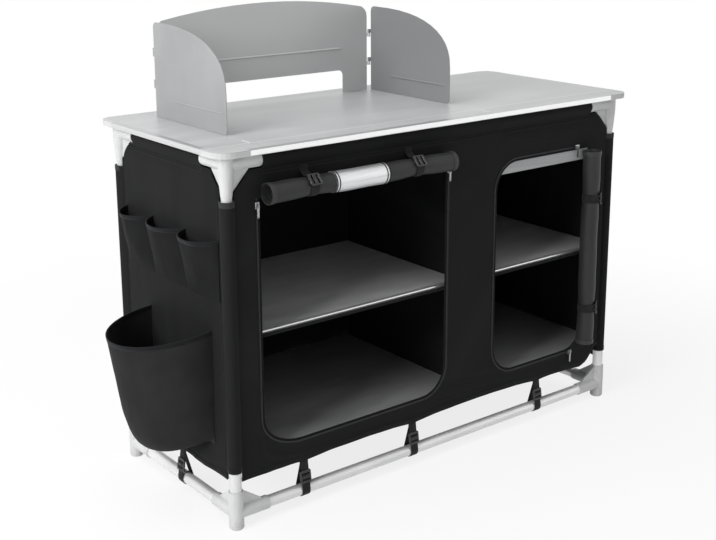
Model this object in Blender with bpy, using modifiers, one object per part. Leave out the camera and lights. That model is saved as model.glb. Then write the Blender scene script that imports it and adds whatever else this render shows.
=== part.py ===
"""Camp kitchen unit: a plugged tube frame, a worktop with a folding windbreak and a sewn organiser.

Metres, +Z up, front towards -Y. The frame is centred on the local origin, and the parent empty
moves the whole unit so that the middle of its outline stands over the world origin.
"""

import math

import bmesh
import bpy
from mathutils import Matrix, Vector

# Worktop
TOP_LENGTH = 1.165
TOP_DEPTH = 0.500
TOP_HEIGHT = 0.790
TOP_THICKNESS = 0.012
TOP_CORNER_RADIUS = 0.035
TOP_RIM = 0.012
TOP_OVERHANG = 0.035
CORNER_REACH = 0.070
LEDGE_WIDTH = 0.026
LEDGE_THICKNESS = 0.0025
TRIM_WALL = 0.0016
LEFT_BOARD_WIDTH = 0.108
CENTRE_BOARD_WIDTH = 0.600

# Tube frame
TUBE_RADIUS = 0.0125
TUBE_WALL = 0.0012
RAIL_HEIGHT = 0.035
RAIL_START = 0.0200
SOCKET_WALL = 0.0030
ARM_WALL = 0.0020
ARM_REACH = 0.075
LOWER_NODE_HEIGHT = 0.083
FOOT_HEIGHT = 0.019
FOOT_GROOVE = 0.0006
WEB_THICKNESS = 0.005
WEB_REACH = 0.062
UPPER_NODE_DROP = 0.083
UPPER_WEB_REACH = 0.050
UPPER_NECK_RADIUS = 0.0108
SPIGOT_LENGTH = 0.040

# Sewn organiser
FABRIC = 0.0015
SLEEVE_EASE = 0.0005
SLEEVE_BOTTOM = 0.126
PANEL_OFFSET = 0.0060
SKIRT_BOTTOM = 0.110
SKIRT_DIP = 0.007
SKIRT_SLACK = 0.026
RIGHT_SKIRT_LIFT = 0.040
RIGHT_SKIRT_LENGTH = 0.070
DIVIDER_X = 0.076
FLOOR_HEIGHT = 0.146
SHELF_HEIGHT = 0.398
BOARD_THICKNESS = 0.005
BOARD_INSET = 0.003
BOARD_SETBACK = 0.012
DIVIDER_DROP = 0.055

# Door openings, their zips and their rolled doors
DOOR_BOTTOM = 0.157
DOOR_CORNER_RADIUS = 0.065
LEFT_DOOR_LEG_GAP = 0.0695
LEFT_DOOR_DIVIDER_GAP = 0.066
LEFT_DOOR_DROP = 0.104
RIGHT_DOOR_LEG_GAP = 0.0775
RIGHT_DOOR_DIVIDER_GAP = 0.090
RIGHT_DOOR_DROP = 0.126
ZIP_OFFSET = 0.0065
ZIP_WIDTH = 0.0050
ZIP_HEIGHT = 0.0012
SLIDER_WIDTH = 0.010
SLIDER_LENGTH = 0.013
SLIDER_DEPTH = 0.0048
BRIDGE_WIDTH = 0.0020
BRIDGE_SPAN = 0.0044
BRIDGE_RISE = 0.0026
BRIDGE_WALL = 0.0012
PULL_LENGTH = 0.026
PULL_WIDTH = 0.0060
PULL_THICKNESS = 0.0012
PULL_EYE = (0.0030, 0.0045)
ROLL_RADIUS = 0.022
ROLL_CORE = 0.006
ROLL_TURNS = 4.5
ROLL_TAIL = 0.012
ROLL_END_GAP = 0.004
LEFT_ROLL_RISE = 0.014
RIGHT_ROLL_LAP = 0.008
RIGHT_ROLL_FOOT = 0.018
RIGHT_ROLL_HEAD = 0.004
VENT_DROP = 0.026
VENT_RISE = 0.030

# Webbing and buckles
WEBBING = 0.0013
WEBBING_WIDTH = 0.020
BUCKLE = (0.027, 0.028, 0.0040)
BUCKLE_SLOT = (0.019, 0.0045)
LEFT_ROLL_STRAPS = (0.106, 0.110)
RIGHT_ROLL_STRAPS = (0.115, 0.092)
FRONT_STRAPS = (0.097, 0.091, 0.151)
BACK_STRAP_LEG_GAP = 0.2475
SIDE_STRAP_Y = -0.012
STRAP_TAB = 0.020
STRAP_EASE = 0.0006

# Pockets on the left side
CUTLERY_Y = (0.195, 0.067, -0.066, -0.192)
CUTLERY_BOTTOM = 0.480
CUTLERY_TOP = 0.605
CUTLERY_DEPTH = 0.030
POCKET_Y = (0.107, -0.155)
POCKET_DEPTH = 0.160
POCKET_RIM = 0.400
POCKET_SEAM = 0.168
# Share of the depth, and of the height from seam to rim, down the pocket's middle.
POCKET_SHARES = (
    (1.00, 0.948),
    (0.94, 0.698),
    (0.87, 0.397),
    (0.80, 0.138),
    (0.68, -0.052),
    (0.50, -0.138),
    (0.27, -0.121),
    (0.00, 0.000),
)

# Windbreak
SHEET = 0.0012
WING_LENGTH = 0.2925
WING_HEIGHT = 0.205
WING_FRONT_HEIGHT = 0.080
WING_CURVE = 2.5
BACK_PEAK = 0.230
BACK_CORNER_RADIUS = 0.024
WINDBREAK_INSET = 0.062
HINGE_INSET = 0.005
HOSE_GAP_HEIGHT = 0.055
WINDBREAK_FOOT = 0.075
SHEET_CORNER = 0.012
KNUCKLE_RADIUS = 0.0036
KNUCKLE_HEIGHT = 0.009
PIN_RADIUS = 0.0015
PIN_EASE = 0.0004
KNUCKLES_Z = (0.066, 0.135)
FOOT_PLATE = (0.034, 0.016, 0.0012)
PEG_RADIUS = 0.0025
PEG_LENGTH = 0.0075
PEG_EASE = 0.0003
BEAD_RADIUS = 0.0022
BACK_BEAD_Z = 0.108
WING_BEAD_Z = 0.042
BEAD_INSET = 0.077

# Clearances and facets
GAP = 0.0003
FIT = 0.0003
TUBE_SIDES = 20
ARC_STEPS = 6
PIN_SIDES = 16
CUTLERY_COLUMNS = 8
CUTLERY_ROWS = 4
POCKET_COLUMNS = 12
ROLL_SIDES = 16

LEG_X = TOP_LENGTH / 2 - TOP_OVERHANG
LEG_Y = TOP_DEPTH / 2 - TOP_OVERHANG
UNDERSIDE = TOP_HEIGHT - TOP_THICKNESS
ARM_RADIUS = TUBE_RADIUS + ARM_WALL
NODE_RADIUS = TUBE_RADIUS + SOCKET_WALL
BORE_RADIUS = TUBE_RADIUS + FIT
TUBE_BORE = TUBE_RADIUS - TUBE_WALL
UPPER_NODE_TOP = UNDERSIDE - GAP
UPPER_RAIL_HEIGHT = UPPER_NODE_TOP - NODE_RADIUS
LEG_BOTTOM = FOOT_HEIGHT + 0.004
SLEEVE_BORE = TUBE_RADIUS + SLEEVE_EASE
SLEEVE_RADIUS = SLEEVE_BORE + FABRIC
SLEEVE_TOP = UPPER_NODE_TOP - UPPER_NODE_DROP - 0.006
LEG_TOP = SLEEVE_TOP - 0.002
PANEL_X = LEG_X + PANEL_OFFSET
PANEL_Y = LEG_Y + PANEL_OFFSET
FRONT_FACE = PANEL_Y + FABRIC / 2
INNER_X = PANEL_X - FABRIC / 2 - GAP
INNER_Y = PANEL_Y - FABRIC / 2 - GAP
HEM_END = ARM_REACH + 0.002
# The middle of the cloth where a pocket is sewn to the left panel.
POCKET_FACE = PANEL_X + FABRIC + GAP
# Neighbouring pockets are sewn down side by side, half a cloth in from their shared line.
POCKET_EDGE = (FABRIC + GAP) / 2
ROLL_STANDOFF = GAP + ROLL_RADIUS
SLEEVE_MIDDLE = (SLEEVE_BORE + SLEEVE_RADIUS) / 2
DIVIDER_TOP = TOP_HEIGHT - DIVIDER_DROP
LEFT_DOOR_X = (-LEG_X + LEFT_DOOR_LEG_GAP, DIVIDER_X - LEFT_DOOR_DIVIDER_GAP)
LEFT_DOOR_TOP = TOP_HEIGHT - LEFT_DOOR_DROP
RIGHT_DOOR_X = (DIVIDER_X + RIGHT_DOOR_DIVIDER_GAP, LEG_X - RIGHT_DOOR_LEG_GAP)
RIGHT_DOOR_TOP = TOP_HEIGHT - RIGHT_DOOR_DROP
LEFT_ROLL_Z = LEFT_DOOR_TOP + LEFT_ROLL_RISE
RIGHT_ROLL_X = RIGHT_DOOR_X[1] - RIGHT_ROLL_LAP
RIGHT_ROLL_Z = (DOOR_BOTTOM + RIGHT_ROLL_FOOT, RIGHT_DOOR_TOP - RIGHT_ROLL_HEAD)
LEFT_ROLL_STRAPS_X = (LEFT_DOOR_X[0] + LEFT_ROLL_STRAPS[0], LEFT_DOOR_X[1] - LEFT_ROLL_STRAPS[1])
RIGHT_ROLL_STRAPS_Z = (
    RIGHT_ROLL_Z[1] - RIGHT_ROLL_STRAPS[0],
    RIGHT_ROLL_Z[0] + RIGHT_ROLL_STRAPS[1],
)
FRONT_STRAPS_X = (
    LEFT_DOOR_X[0] + FRONT_STRAPS[0],
    LEFT_DOOR_X[1] - FRONT_STRAPS[1],
    RIGHT_DOOR_X[0] + FRONT_STRAPS[2],
)
BACK_STRAPS_X = (-LEG_X + BACK_STRAP_LEG_GAP, LEG_X - BACK_STRAP_LEG_GAP)
WINDBREAK_BACK_Y = TOP_DEPTH / 2 - WINDBREAK_INSET
LEFT_SEAM = -TOP_LENGTH / 2 + LEFT_BOARD_WIDTH
RIGHT_SEAM = LEFT_SEAM + CENTRE_BOARD_WIDTH
# The whole windbreak stands on the centre board, so that the other boards lie free.
WINDBREAK_LEFT = LEFT_SEAM + HINGE_INSET
WINDBREAK_RIGHT = RIGHT_SEAM - HINGE_INSET
WINDBREAK_BASE = TOP_HEIGHT + 0.0005
# The back sheet lies behind the hinge axes, and its pegs behind the sheet.
BACK_SHEET_Y = WINDBREAK_BACK_Y + KNUCKLE_RADIUS - SHEET / 2
PEG_Y = BACK_SHEET_Y + FOOT_PLATE[1] * 0.6
PEGS_X = (WINDBREAK_LEFT + WINDBREAK_FOOT / 2, WINDBREAK_RIGHT - WINDBREAK_FOOT / 2)

LEFT_REACH = POCKET_FACE + FABRIC / 2 + POCKET_DEPTH
FRONT_REACH = FRONT_FACE + ROLL_STANDOFF + ROLL_RADIUS + WEBBING
ORIGIN_X = (LEFT_REACH - TOP_LENGTH / 2) / 2
ORIGIN_Y = (FRONT_REACH - TOP_DEPTH / 2) / 2

# A flat outline is drawn in local XY: these turn it to face the front or the side.
FACE_FRONT = Matrix.Rotation(math.radians(90), 4, "X")
FACE_SIDE = Matrix.Rotation(math.radians(90), 4, "Z") @ FACE_FRONT
# Local X leaves the front, local Y is up and local Z runs to the left.
OUT_AND_UP = Matrix(((0, 0, -1, 0), (-1, 0, 0, 0), (0, 1, 0, 0), (0, 0, 0, 1)))


def clear_scene():
    for obj in list(bpy.data.objects):
        bpy.data.objects.remove(obj, do_unlink=True)


def new_collection(name, hidden=False):
    collection = bpy.data.collections.new(name)
    collection.hide_render = hidden
    bpy.context.scene.collection.children.link(collection)
    return collection


clear_scene()
UNIT = new_collection("camp_kitchen_unit")
CUTTERS = new_collection("cutters", hidden=True)
CENTRE = bpy.data.objects.new("unit_centre", None)
CENTRE.location = (ORIGIN_X, ORIGIN_Y, 0)
UNIT.objects.link(CENTRE)


def material(name, colour, roughness, metallic=0.0):
    found = bpy.data.materials.get(name)
    if found:
        return found
    made = bpy.data.materials.new(name)
    made.use_nodes = True
    shader = made.node_tree.nodes["Principled BSDF"]
    shader.inputs["Base Color"].default_value = (*colour, 1)
    shader.inputs["Roughness"].default_value = roughness
    shader.inputs["Metallic"].default_value = metallic
    made.diffuse_color = (*colour, 1)
    return made


TUBE_METAL = material("silver_tube", (0.72, 0.73, 0.74), 0.35, 0.6)
NODE_PLASTIC = material("grey_plastic", (0.60, 0.61, 0.62), 0.5)
TRIM_METAL = material("bright_trim", (0.80, 0.81, 0.82), 0.3, 0.8)
BOARD_SILVER = material("silver_board", (0.52, 0.53, 0.54), 0.45, 0.2)
SHELF_GREY = material("shelf_grey", (0.10, 0.10, 0.105), 0.55)
POLYESTER = material("black_polyester", (0.014, 0.014, 0.015), 0.7)
VENT_GREY = material("vent_grey", (0.55, 0.56, 0.57), 0.8)
SHEET_GREY = material("windbreak_grey", (0.40, 0.41, 0.42), 0.4, 0.3)
ZIP_STEEL = material("zip_steel", (0.65, 0.65, 0.66), 0.3, 1.0)


def place(obj, matrix, parent=CENTRE):
    obj.parent = parent
    obj.matrix_parent_inverse.identity()
    obj.matrix_basis = matrix
    return obj


def node(name, data, finish, matrix=Matrix(), parent=CENTRE):
    """A visible piece of the unit."""
    obj = bpy.data.objects.new(name, data)
    UNIT.objects.link(obj)
    if not data.materials:
        data.materials.append(finish)
    return place(obj, matrix, parent)


def helper(name, data, matrix=Matrix(), parent=CENTRE):
    """A shape that only cuts or joins a piece."""
    obj = bpy.data.objects.new(name, data)
    CUTTERS.objects.link(obj)
    obj.hide_render = True
    obj.display_type = "WIRE"
    return place(obj, matrix, parent)


def boolean(target, other, operation):
    modifier = target.modifiers.new(f"{operation.lower()} {other.name}", "BOOLEAN")
    modifier.operation = operation
    modifier.object = other
    modifier.solver = "EXACT"


def join(target, *others):
    for other in others:
        boolean(target, other, "UNION")


def cut(target, *others):
    for other in others:
        boolean(target, other, "DIFFERENCE")


def evaluated_mesh(obj):
    """The object's mesh with its modifiers applied and its loose caps welded."""
    bpy.context.view_layer.update()
    graph = bpy.context.evaluated_depsgraph_get()
    mesh = bpy.data.meshes.new_from_object(obj.evaluated_get(graph))
    bm = bmesh.new()
    bm.from_mesh(mesh)
    bmesh.ops.remove_doubles(bm, verts=bm.verts, dist=1e-6)
    bmesh.ops.recalc_face_normals(bm, faces=bm.faces)
    bm.to_mesh(mesh)
    bm.free()
    return mesh


def smooth(mesh, angle=35):
    mesh.shade_smooth()
    mesh.set_sharp_from_angle(angle=math.radians(angle))
    return mesh


def arc(centre, radius, start, end, steps=ARC_STEPS):
    """Points on a circle from one angle to another, in degrees, both ends included."""
    angles = [math.radians(start + (end - start) * i / steps) for i in range(steps + 1)]
    return [(centre[0] + radius * math.cos(a), centre[1] + radius * math.sin(a)) for a in angles]


def flat(name, loops, thickness):
    """A plate's mesh: closed outlines in local XY, later ones being holes, thickened along local Z."""
    curve = bpy.data.curves.new(name, "CURVE")
    curve.dimensions = "2D"
    curve.fill_mode = "BOTH"
    curve.extrude = thickness / 2
    for loop in loops:
        spline = curve.splines.new("POLY")
        spline.points.add(len(loop) - 1)
        for point, (x, y) in zip(spline.points, loop):
            point.co = (x, y, 0, 1)
        spline.use_cyclic_u = True
    shape = helper(f"{name}_outline", curve)
    mesh = evaluated_mesh(shape)
    bpy.data.objects.remove(shape)
    mesh.name = name
    # The fill leaves slivers between points in line: whole faces take their place.
    bm = bmesh.new()
    bm.from_mesh(mesh)
    bmesh.ops.dissolve_limit(bm, angle_limit=0.002, verts=bm.verts, edges=bm.edges)
    bm.to_mesh(mesh)
    bm.free()
    return mesh


def turned(name, profile, sides=TUBE_SIDES, closed=False):
    """A mesh turned round local Z from (radius, height) points that run down the outer side."""
    bm = bmesh.new()
    points = [bm.verts.new((r, 0, z)) for r, z in profile]
    for a, b in zip(points, points[1:]):
        bm.edges.new((a, b))
    if closed:
        bm.edges.new((points[-1], points[0]))
    mesh = bpy.data.meshes.new(f"{name}_profile")
    bm.to_mesh(mesh)
    bm.free()
    shape = helper(f"{name}_turned", mesh)
    screw = shape.modifiers.new("Screw", "SCREW")
    screw.axis = "Z"
    screw.steps = sides
    screw.render_steps = sides
    screw.use_merge_vertices = True
    screw.merge_threshold = 0.00001
    made = evaluated_mesh(shape)
    bpy.data.objects.remove(shape)
    made.name = name
    return smooth(made)


def pipe(name, length, radius, bore):
    """A tube along local Z, centred."""
    h = length / 2
    return turned(name, [(radius, h), (radius, -h), (bore, -h), (bore, h)], closed=True)


def rod(name, length, radius, sides=TUBE_SIDES):
    """A solid round bar along local Z, centred."""
    h = length / 2
    return turned(name, [(0, h), (radius, h), (radius, -h), (0, -h)], sides)


def block(name, size):
    """A box's mesh, centred."""
    bm = bmesh.new()
    bmesh.ops.create_cube(bm, size=1)
    bmesh.ops.scale(bm, vec=size, verts=bm.verts)
    mesh = bpy.data.meshes.new(name)
    bm.to_mesh(mesh)
    bm.free()
    return mesh


def baked(target):
    """The mesh of a piece that copies share, with its joins and cuts applied."""
    mesh = evaluated_mesh(target)
    mesh.name = target.name
    helpers = [m.object for m in target.modifiers]
    for obj in [target, *helpers]:
        bpy.data.objects.remove(obj)
    return smooth(mesh)


def at(x=0.0, y=0.0, z=0.0, turn=None):
    moved = Matrix.Translation((x, y, z))
    return moved @ turn if turn else moved


def along(direction):
    """Turns local Z to this direction."""
    return Vector(direction).to_track_quat("Z", "Y").to_matrix().to_4x4()


def turn_z(degrees):
    return Matrix.Rotation(math.radians(degrees), 4, "Z")


# Corners in the order of a quarter turn: the arms of a node at the front left point to +X and +Y.
CORNERS = {
    "front_left": (-1, -1, 0),
    "front_right": (1, -1, 90),
    "back_right": (1, 1, 180),
    "back_left": (-1, 1, 270),
}


def node_arms(height, reach, radius):
    """The two arms of a corner moulding, as solid bars from the leg's axis."""
    bar = rod("arm_bar", reach, radius)
    return [
        helper("arm_x", bar, at(reach / 2, 0, height, along((1, 0, 0)))),
        helper("arm_y", bar, at(0, reach / 2, height, along((0, 1, 0)))),
    ]


def node_bores(height):
    """The bores of both arms, which start where a rail's end stops."""
    start = RAIL_START - FIT
    length = ARM_REACH - start + 0.01
    bore = rod("arm_bore_bar", length, BORE_RADIUS)
    middle = start + length / 2
    return [
        helper("bore_x", bore, at(middle, 0, height, along((1, 0, 0)))),
        helper("bore_y", bore, at(0, middle, height, along((0, 1, 0)))),
    ]


def node_webs(outline):
    web = flat("web_plate", [outline], WEB_THICKNESS)
    return [
        helper("web_x", web, FACE_FRONT),
        helper("web_y", web, FACE_SIDE),
    ]


def lower_node_mesh():
    """Bottom corner moulding: foot, leg socket, two rail arms and their gusset webs."""
    r = NODE_RADIUS
    column = turned(
        "lower_column",
        [
            (0, LOWER_NODE_HEIGHT),
            (r, LOWER_NODE_HEIGHT),
            (r, FOOT_HEIGHT + FOOT_GROOVE),
            (r - FOOT_GROOVE, FOOT_HEIGHT),
            (r, FOOT_HEIGHT - FOOT_GROOVE),
            (r, 0.004),
            (r - 0.002, 0.001),
            (r - 0.004, 0),
            (0, 0),
        ],
    )
    moulding = helper("lower_node", column)
    inside = r * 0.6
    webs = node_webs(
        [
            (inside, RAIL_HEIGHT),
            (WEB_REACH, RAIL_HEIGHT),
            (WEB_REACH, RAIL_HEIGHT + ARM_RADIUS - 0.0006),
            (r * 0.97, LOWER_NODE_HEIGHT - 0.002),
            (inside, LOWER_NODE_HEIGHT - 0.002),
        ]
    )
    join(moulding, *node_arms(RAIL_HEIGHT, ARM_REACH, ARM_RADIUS), *webs)
    height = LOWER_NODE_HEIGHT - LEG_BOTTOM + GAP + 0.01
    leg_bore = rod("leg_bore_bar", height, BORE_RADIUS)
    leg = helper("bore_leg", leg_bore, at(z=LEG_BOTTOM - GAP + height / 2))
    cut(moulding, leg, *node_bores(RAIL_HEIGHT))
    return baked(moulding)


def upper_node_mesh():
    """Top corner moulding, from its top face down: two rail arms, webs and a spigot for the leg."""
    drop = UPPER_NODE_DROP
    spigot = TUBE_BORE - FIT
    column = turned(
        "upper_column",
        [
            (0, 0),
            (NODE_RADIUS, 0),
            (NODE_RADIUS, -2 * NODE_RADIUS),
            (UPPER_NECK_RADIUS + 0.001, -drop + 0.006),
            (UPPER_NECK_RADIUS, -drop),
            (min(spigot, UPPER_NECK_RADIUS), -drop - 0.001),
            (min(spigot, UPPER_NECK_RADIUS), -drop - SPIGOT_LENGTH),
            (0, -drop - SPIGOT_LENGTH),
        ],
    )
    moulding = helper("upper_node", column)
    inside = UPPER_NECK_RADIUS * 0.5
    webs = node_webs(
        [
            (inside, -NODE_RADIUS),
            (inside, -drop + 0.010),
            (UPPER_NECK_RADIUS + 0.001, -drop + 0.010),
            (UPPER_WEB_REACH, -2 * NODE_RADIUS + 0.001),
            (UPPER_WEB_REACH, -NODE_RADIUS),
        ]
    )
    join(moulding, *node_arms(-NODE_RADIUS, ARM_REACH, ARM_RADIUS), *webs)
    cut(moulding, *node_bores(-NODE_RADIUS))
    return baked(moulding)


def build_frame():
    lower = lower_node_mesh()
    upper = upper_node_mesh()
    leg = pipe("leg_tube", LEG_TOP - LEG_BOTTOM, TUBE_RADIUS, TUBE_BORE)
    for corner, (sx, sy, degrees) in CORNERS.items():
        x, y = sx * LEG_X, sy * LEG_Y
        node(f"lower_node_{corner}", lower, NODE_PLASTIC, at(x, y, 0, turn_z(degrees)))
        node(f"upper_node_{corner}", upper, NODE_PLASTIC, at(x, y, UPPER_NODE_TOP, turn_z(degrees)))
        node(f"leg_{corner}", leg, TUBE_METAL, at(x, y, (LEG_TOP + LEG_BOTTOM) / 2))
    long_rail = pipe("long_rail", 2 * (LEG_X - RAIL_START), TUBE_RADIUS, TUBE_BORE)
    short_rail = pipe("short_rail", 2 * (LEG_Y - RAIL_START), TUBE_RADIUS, TUBE_BORE)
    for level, z in (("lower", RAIL_HEIGHT), ("upper", UPPER_RAIL_HEIGHT)):
        node(f"{level}_rail_front", long_rail, TUBE_METAL, at(0, -LEG_Y, z, along((1, 0, 0))))
        node(f"{level}_rail_back", long_rail, TUBE_METAL, at(0, LEG_Y, z, along((1, 0, 0))))
        node(f"{level}_rail_left", short_rail, TUBE_METAL, at(-LEG_X, 0, z, along((0, 1, 0))))
        node(f"{level}_rail_right", short_rail, TUBE_METAL, at(LEG_X, 0, z, along((0, 1, 0))))


def corner_piece_mesh():
    """Plastic corner of the worktop: a rounded rim and the ledge that the board lies on."""
    r = TOP_CORNER_RADIUS
    inner = max(r - TOP_RIM, 0.001)
    reach = CORNER_REACH
    outer_arc = arc((r, r), r, 270, 180)
    inner_arc = arc((r, r), inner, 180, 270)
    rim = [(reach, 0), *outer_arc, (0, reach), (TOP_RIM, reach), *inner_arc, (reach, TOP_RIM)]
    moulding = helper("corner_piece", flat("corner_rim", [rim], TOP_THICKNESS))
    outer_ledge = arc((r, r), r - 0.002, 270, 180)
    width = TOP_RIM + LEDGE_WIDTH
    ledge = [(reach, 0.002), *outer_ledge, (0.002, reach), (width, reach), (width, width), (reach, width)]
    plate = helper(
        "corner_ledge",
        flat("corner_ledge", [ledge], LEDGE_THICKNESS),
        at(z=(LEDGE_THICKNESS - TOP_THICKNESS) / 2),
    )
    join(moulding, plate)
    return baked(moulding)


def trim_mesh(name, length):
    """Edge trim of the worktop: a C section whose lower flange is the ledge under the boards."""
    top, bottom = TOP_THICKNESS / 2, -TOP_THICKNESS / 2
    ledge_top = bottom + LEDGE_THICKNESS
    section = [
        (0.0010, top),
        (0, top - 0.0015),
        (0, bottom + 0.0015),
        (0.0010, bottom),
        (TOP_RIM + LEDGE_WIDTH, bottom),
        (TOP_RIM + LEDGE_WIDTH, ledge_top),
        (TRIM_WALL, ledge_top),
        (TRIM_WALL, top - TRIM_WALL),
        (TOP_RIM, top - TRIM_WALL),
        (TOP_RIM, top),
    ]
    return flat(name, [section], length)


def board_outline(x0, x1, left_end, right_end):
    """A worktop board between two seams, with round corners at an end of the worktop."""
    y = TOP_DEPTH / 2 - TOP_RIM - GAP
    r = TOP_CORNER_RADIUS - TOP_RIM - GAP
    points = [(x1, -y), (x1, y)]
    if right_end:
        points = [*arc((x1 - r, r - y), r, 270, 360), *arc((x1 - r, y - r), r, 0, 90)]
    if left_end:
        return [*points, *arc((x0 + r, y - r), r, 90, 180), *arc((x0 + r, r - y), r, 180, 270)]
    return [*points, (x0, y), (x0, -y)]


def build_worktop():
    z = TOP_HEIGHT - TOP_THICKNESS / 2
    half_l, half_d = TOP_LENGTH / 2, TOP_DEPTH / 2
    corner = corner_piece_mesh()
    for name, (sx, sy, degrees) in CORNERS.items():
        node(f"top_corner_{name}", corner, NODE_PLASTIC, at(sx * half_l, sy * half_d, z, turn_z(degrees)))
    long_trim = trim_mesh("long_trim", 2 * (half_l - CORNER_REACH - GAP))
    short_trim = trim_mesh("short_trim", 2 * (half_d - CORNER_REACH - GAP))
    node("trim_front", long_trim, TRIM_METAL, at(0, -half_d, z, turn_z(90) @ FACE_FRONT))
    node("trim_back", long_trim, TRIM_METAL, at(0, half_d, z, turn_z(-90) @ FACE_FRONT))
    node("trim_left", short_trim, TRIM_METAL, at(-half_l, 0, z, FACE_FRONT))
    node("trim_right", short_trim, TRIM_METAL, at(half_l, 0, z, turn_z(180) @ FACE_FRONT))
    thickness = TOP_THICKNESS - LEDGE_THICKNESS - GAP
    board_z = TOP_HEIGHT - thickness / 2
    left_edge = -half_l + TOP_RIM + GAP
    boards = {
        "left": (left_edge, LEFT_SEAM - GAP, True, False),
        "centre": (LEFT_SEAM + GAP, RIGHT_SEAM - GAP, False, False),
        "right": (RIGHT_SEAM + GAP, -left_edge, False, True),
    }
    for name, span in boards.items():
        loops = [board_outline(*span)]
        if name == "centre":
            loops += [arc((x, PEG_Y), PEG_RADIUS + PEG_EASE, 0, 360, 12)[:-1] for x in PEGS_X]
        node(f"worktop_board_{name}", flat(f"board_{name}", loops, thickness), BOARD_SILVER, at(z=board_z))


def hem_pipe(name, half_span, matrix):
    """The sleeve of a panel's upper hem, round its upper rail between the nodes' arms."""
    mesh = pipe(name, 2 * (half_span - HEM_END), SLEEVE_RADIUS, SLEEVE_BORE)
    return helper(name, mesh, matrix)


def panel_top():
    """The height at which a flat panel runs into the wall of its hem sleeve."""
    return UPPER_RAIL_HEIGHT - math.sqrt(SLEEVE_MIDDLE**2 - PANEL_OFFSET**2)


def skirt(x0, x1, pulls):
    """The panel's lower edge from x0 to x1: pulled down at the straps, it rises between them."""
    low = SKIRT_BOTTOM - SKIRT_DIP
    marks = [x0, *pulls, x1]
    points = []
    for a, b in zip(marks, marks[1:]):
        rise = SKIRT_SLACK * (b - a)
        for i in range(ARC_STEPS):
            t = i / ARC_STEPS
            points.append((a + (b - a) * t, low + 4 * rise * t * (1 - t)))
    return [*points, (x1, low)]


def panel_outline(end, half_span, lower_edge):
    """A panel between two leg sleeves, with its top corners cut away round the upper nodes."""
    top = panel_top()
    arm_bottom = UPPER_RAIL_HEIGHT - ARM_RADIUS - 0.002
    hem = half_span - HEM_END
    return [
        *lower_edge,
        (end, SLEEVE_TOP - 0.004),
        (hem, arm_bottom),
        (hem, top),
        (-hem, top),
        (-hem, arm_bottom),
        (-end, SLEEVE_TOP - 0.004),
    ]


def door_outline(span, top, round_top):
    """A door opening, with its upper left corner rounded or square."""
    (x0, x1), z0, r = span, DOOR_BOTTOM, DOOR_CORNER_RADIUS
    lower = [*arc((x0 + r, z0 + r), r, 180, 270), *arc((x1 - r, z0 + r), r, 270, 360)]
    upper = arc((x0 + r, top - r), r, 90, 180) if round_top else [(x0, top)]
    return [*lower, (x1, top), *upper]


def zip_paths():
    """The two zip chains, each round three sides of its door: the fourth side is sewn."""
    r = DOOR_CORNER_RADIUS + ZIP_OFFSET
    z0 = DOOR_BOTTOM - ZIP_OFFSET
    x0, x1 = LEFT_DOOR_X[0] - ZIP_OFFSET, LEFT_DOOR_X[1] + ZIP_OFFSET
    turns = [*arc((x0 + r, z0 + r), r, 180, 270), *arc((x1 - r, z0 + r), r, 270, 360)]
    left = [(x0, LEFT_DOOR_TOP), *turns, (x1, LEFT_DOOR_TOP)]
    x0, x1 = RIGHT_DOOR_X[0] - ZIP_OFFSET, RIGHT_ROLL_X - ROLL_RADIUS - ROLL_END_GAP
    z1 = RIGHT_DOOR_TOP + ZIP_OFFSET
    turns = [*arc((x0 + r, z1 - r), r, 90, 180), *arc((x0 + r, z0 + r), r, 180, 270)]
    right = [(x1, z1), *turns, (x1, z0)]
    return {"left_zip": left, "right_zip": right}


def ribbon(path, thickness):
    """The outline of a strip that follows a path in local XY."""
    left, right = [], []
    for i, point in enumerate(path):
        before = Vector(path[max(i - 1, 0)])
        after = Vector(path[min(i + 1, len(path) - 1)])
        step = (after - before).normalized()
        across = Vector((-step.y, step.x)) * thickness / 2
        left.append(tuple(Vector(point) + across))
        right.append(tuple(Vector(point) - across))
    return left + right[::-1]


def front_panel():
    """Front panel with two door openings, their zip chains and the hem round the front rail."""
    reach = math.sqrt(SLEEVE_RADIUS**2 - (PANEL_OFFSET - FABRIC / 2) ** 2)
    end = LEG_X - reach - GAP
    lift = SKIRT_BOTTOM - SKIRT_DIP + RIGHT_SKIRT_LIFT
    step = end - RIGHT_SKIRT_LENGTH
    lower = skirt(-end, step, FRONT_STRAPS_X)
    rounded = [(step + RIGHT_SKIRT_LENGTH * 0.35, SKIRT_BOTTOM), (end - 0.022, lift - 0.012), (end - 0.016, lift)]
    lower += [*rounded, (end, lift)]
    outline = panel_outline(end, LEG_X, lower)
    doors = [
        door_outline(LEFT_DOOR_X, LEFT_DOOR_TOP, False),
        door_outline(RIGHT_DOOR_X, RIGHT_DOOR_TOP, True),
    ]
    mesh = flat("front_panel", [outline, *doors], FABRIC)
    panel = node("front_panel", mesh, POLYESTER, at(0, -PANEL_Y, 0, FACE_FRONT))
    rail = at(0, -LEG_Y, UPPER_RAIL_HEIGHT, along((1, 0, 0)))
    join(panel, hem_pipe("front_hem", LEG_X, rail))
    depth = ZIP_HEIGHT + FABRIC / 2
    chain_at = at(0, -PANEL_Y - depth / 2, 0, FACE_FRONT)
    for name, path in zip_paths().items():
        join(panel, helper(name, flat(name, [ribbon(path, ZIP_WIDTH)], depth), chain_at))
    sew_rail_straps(panel, "front", [(x, -LEG_Y, 0) for x in FRONT_STRAPS_X])


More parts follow.
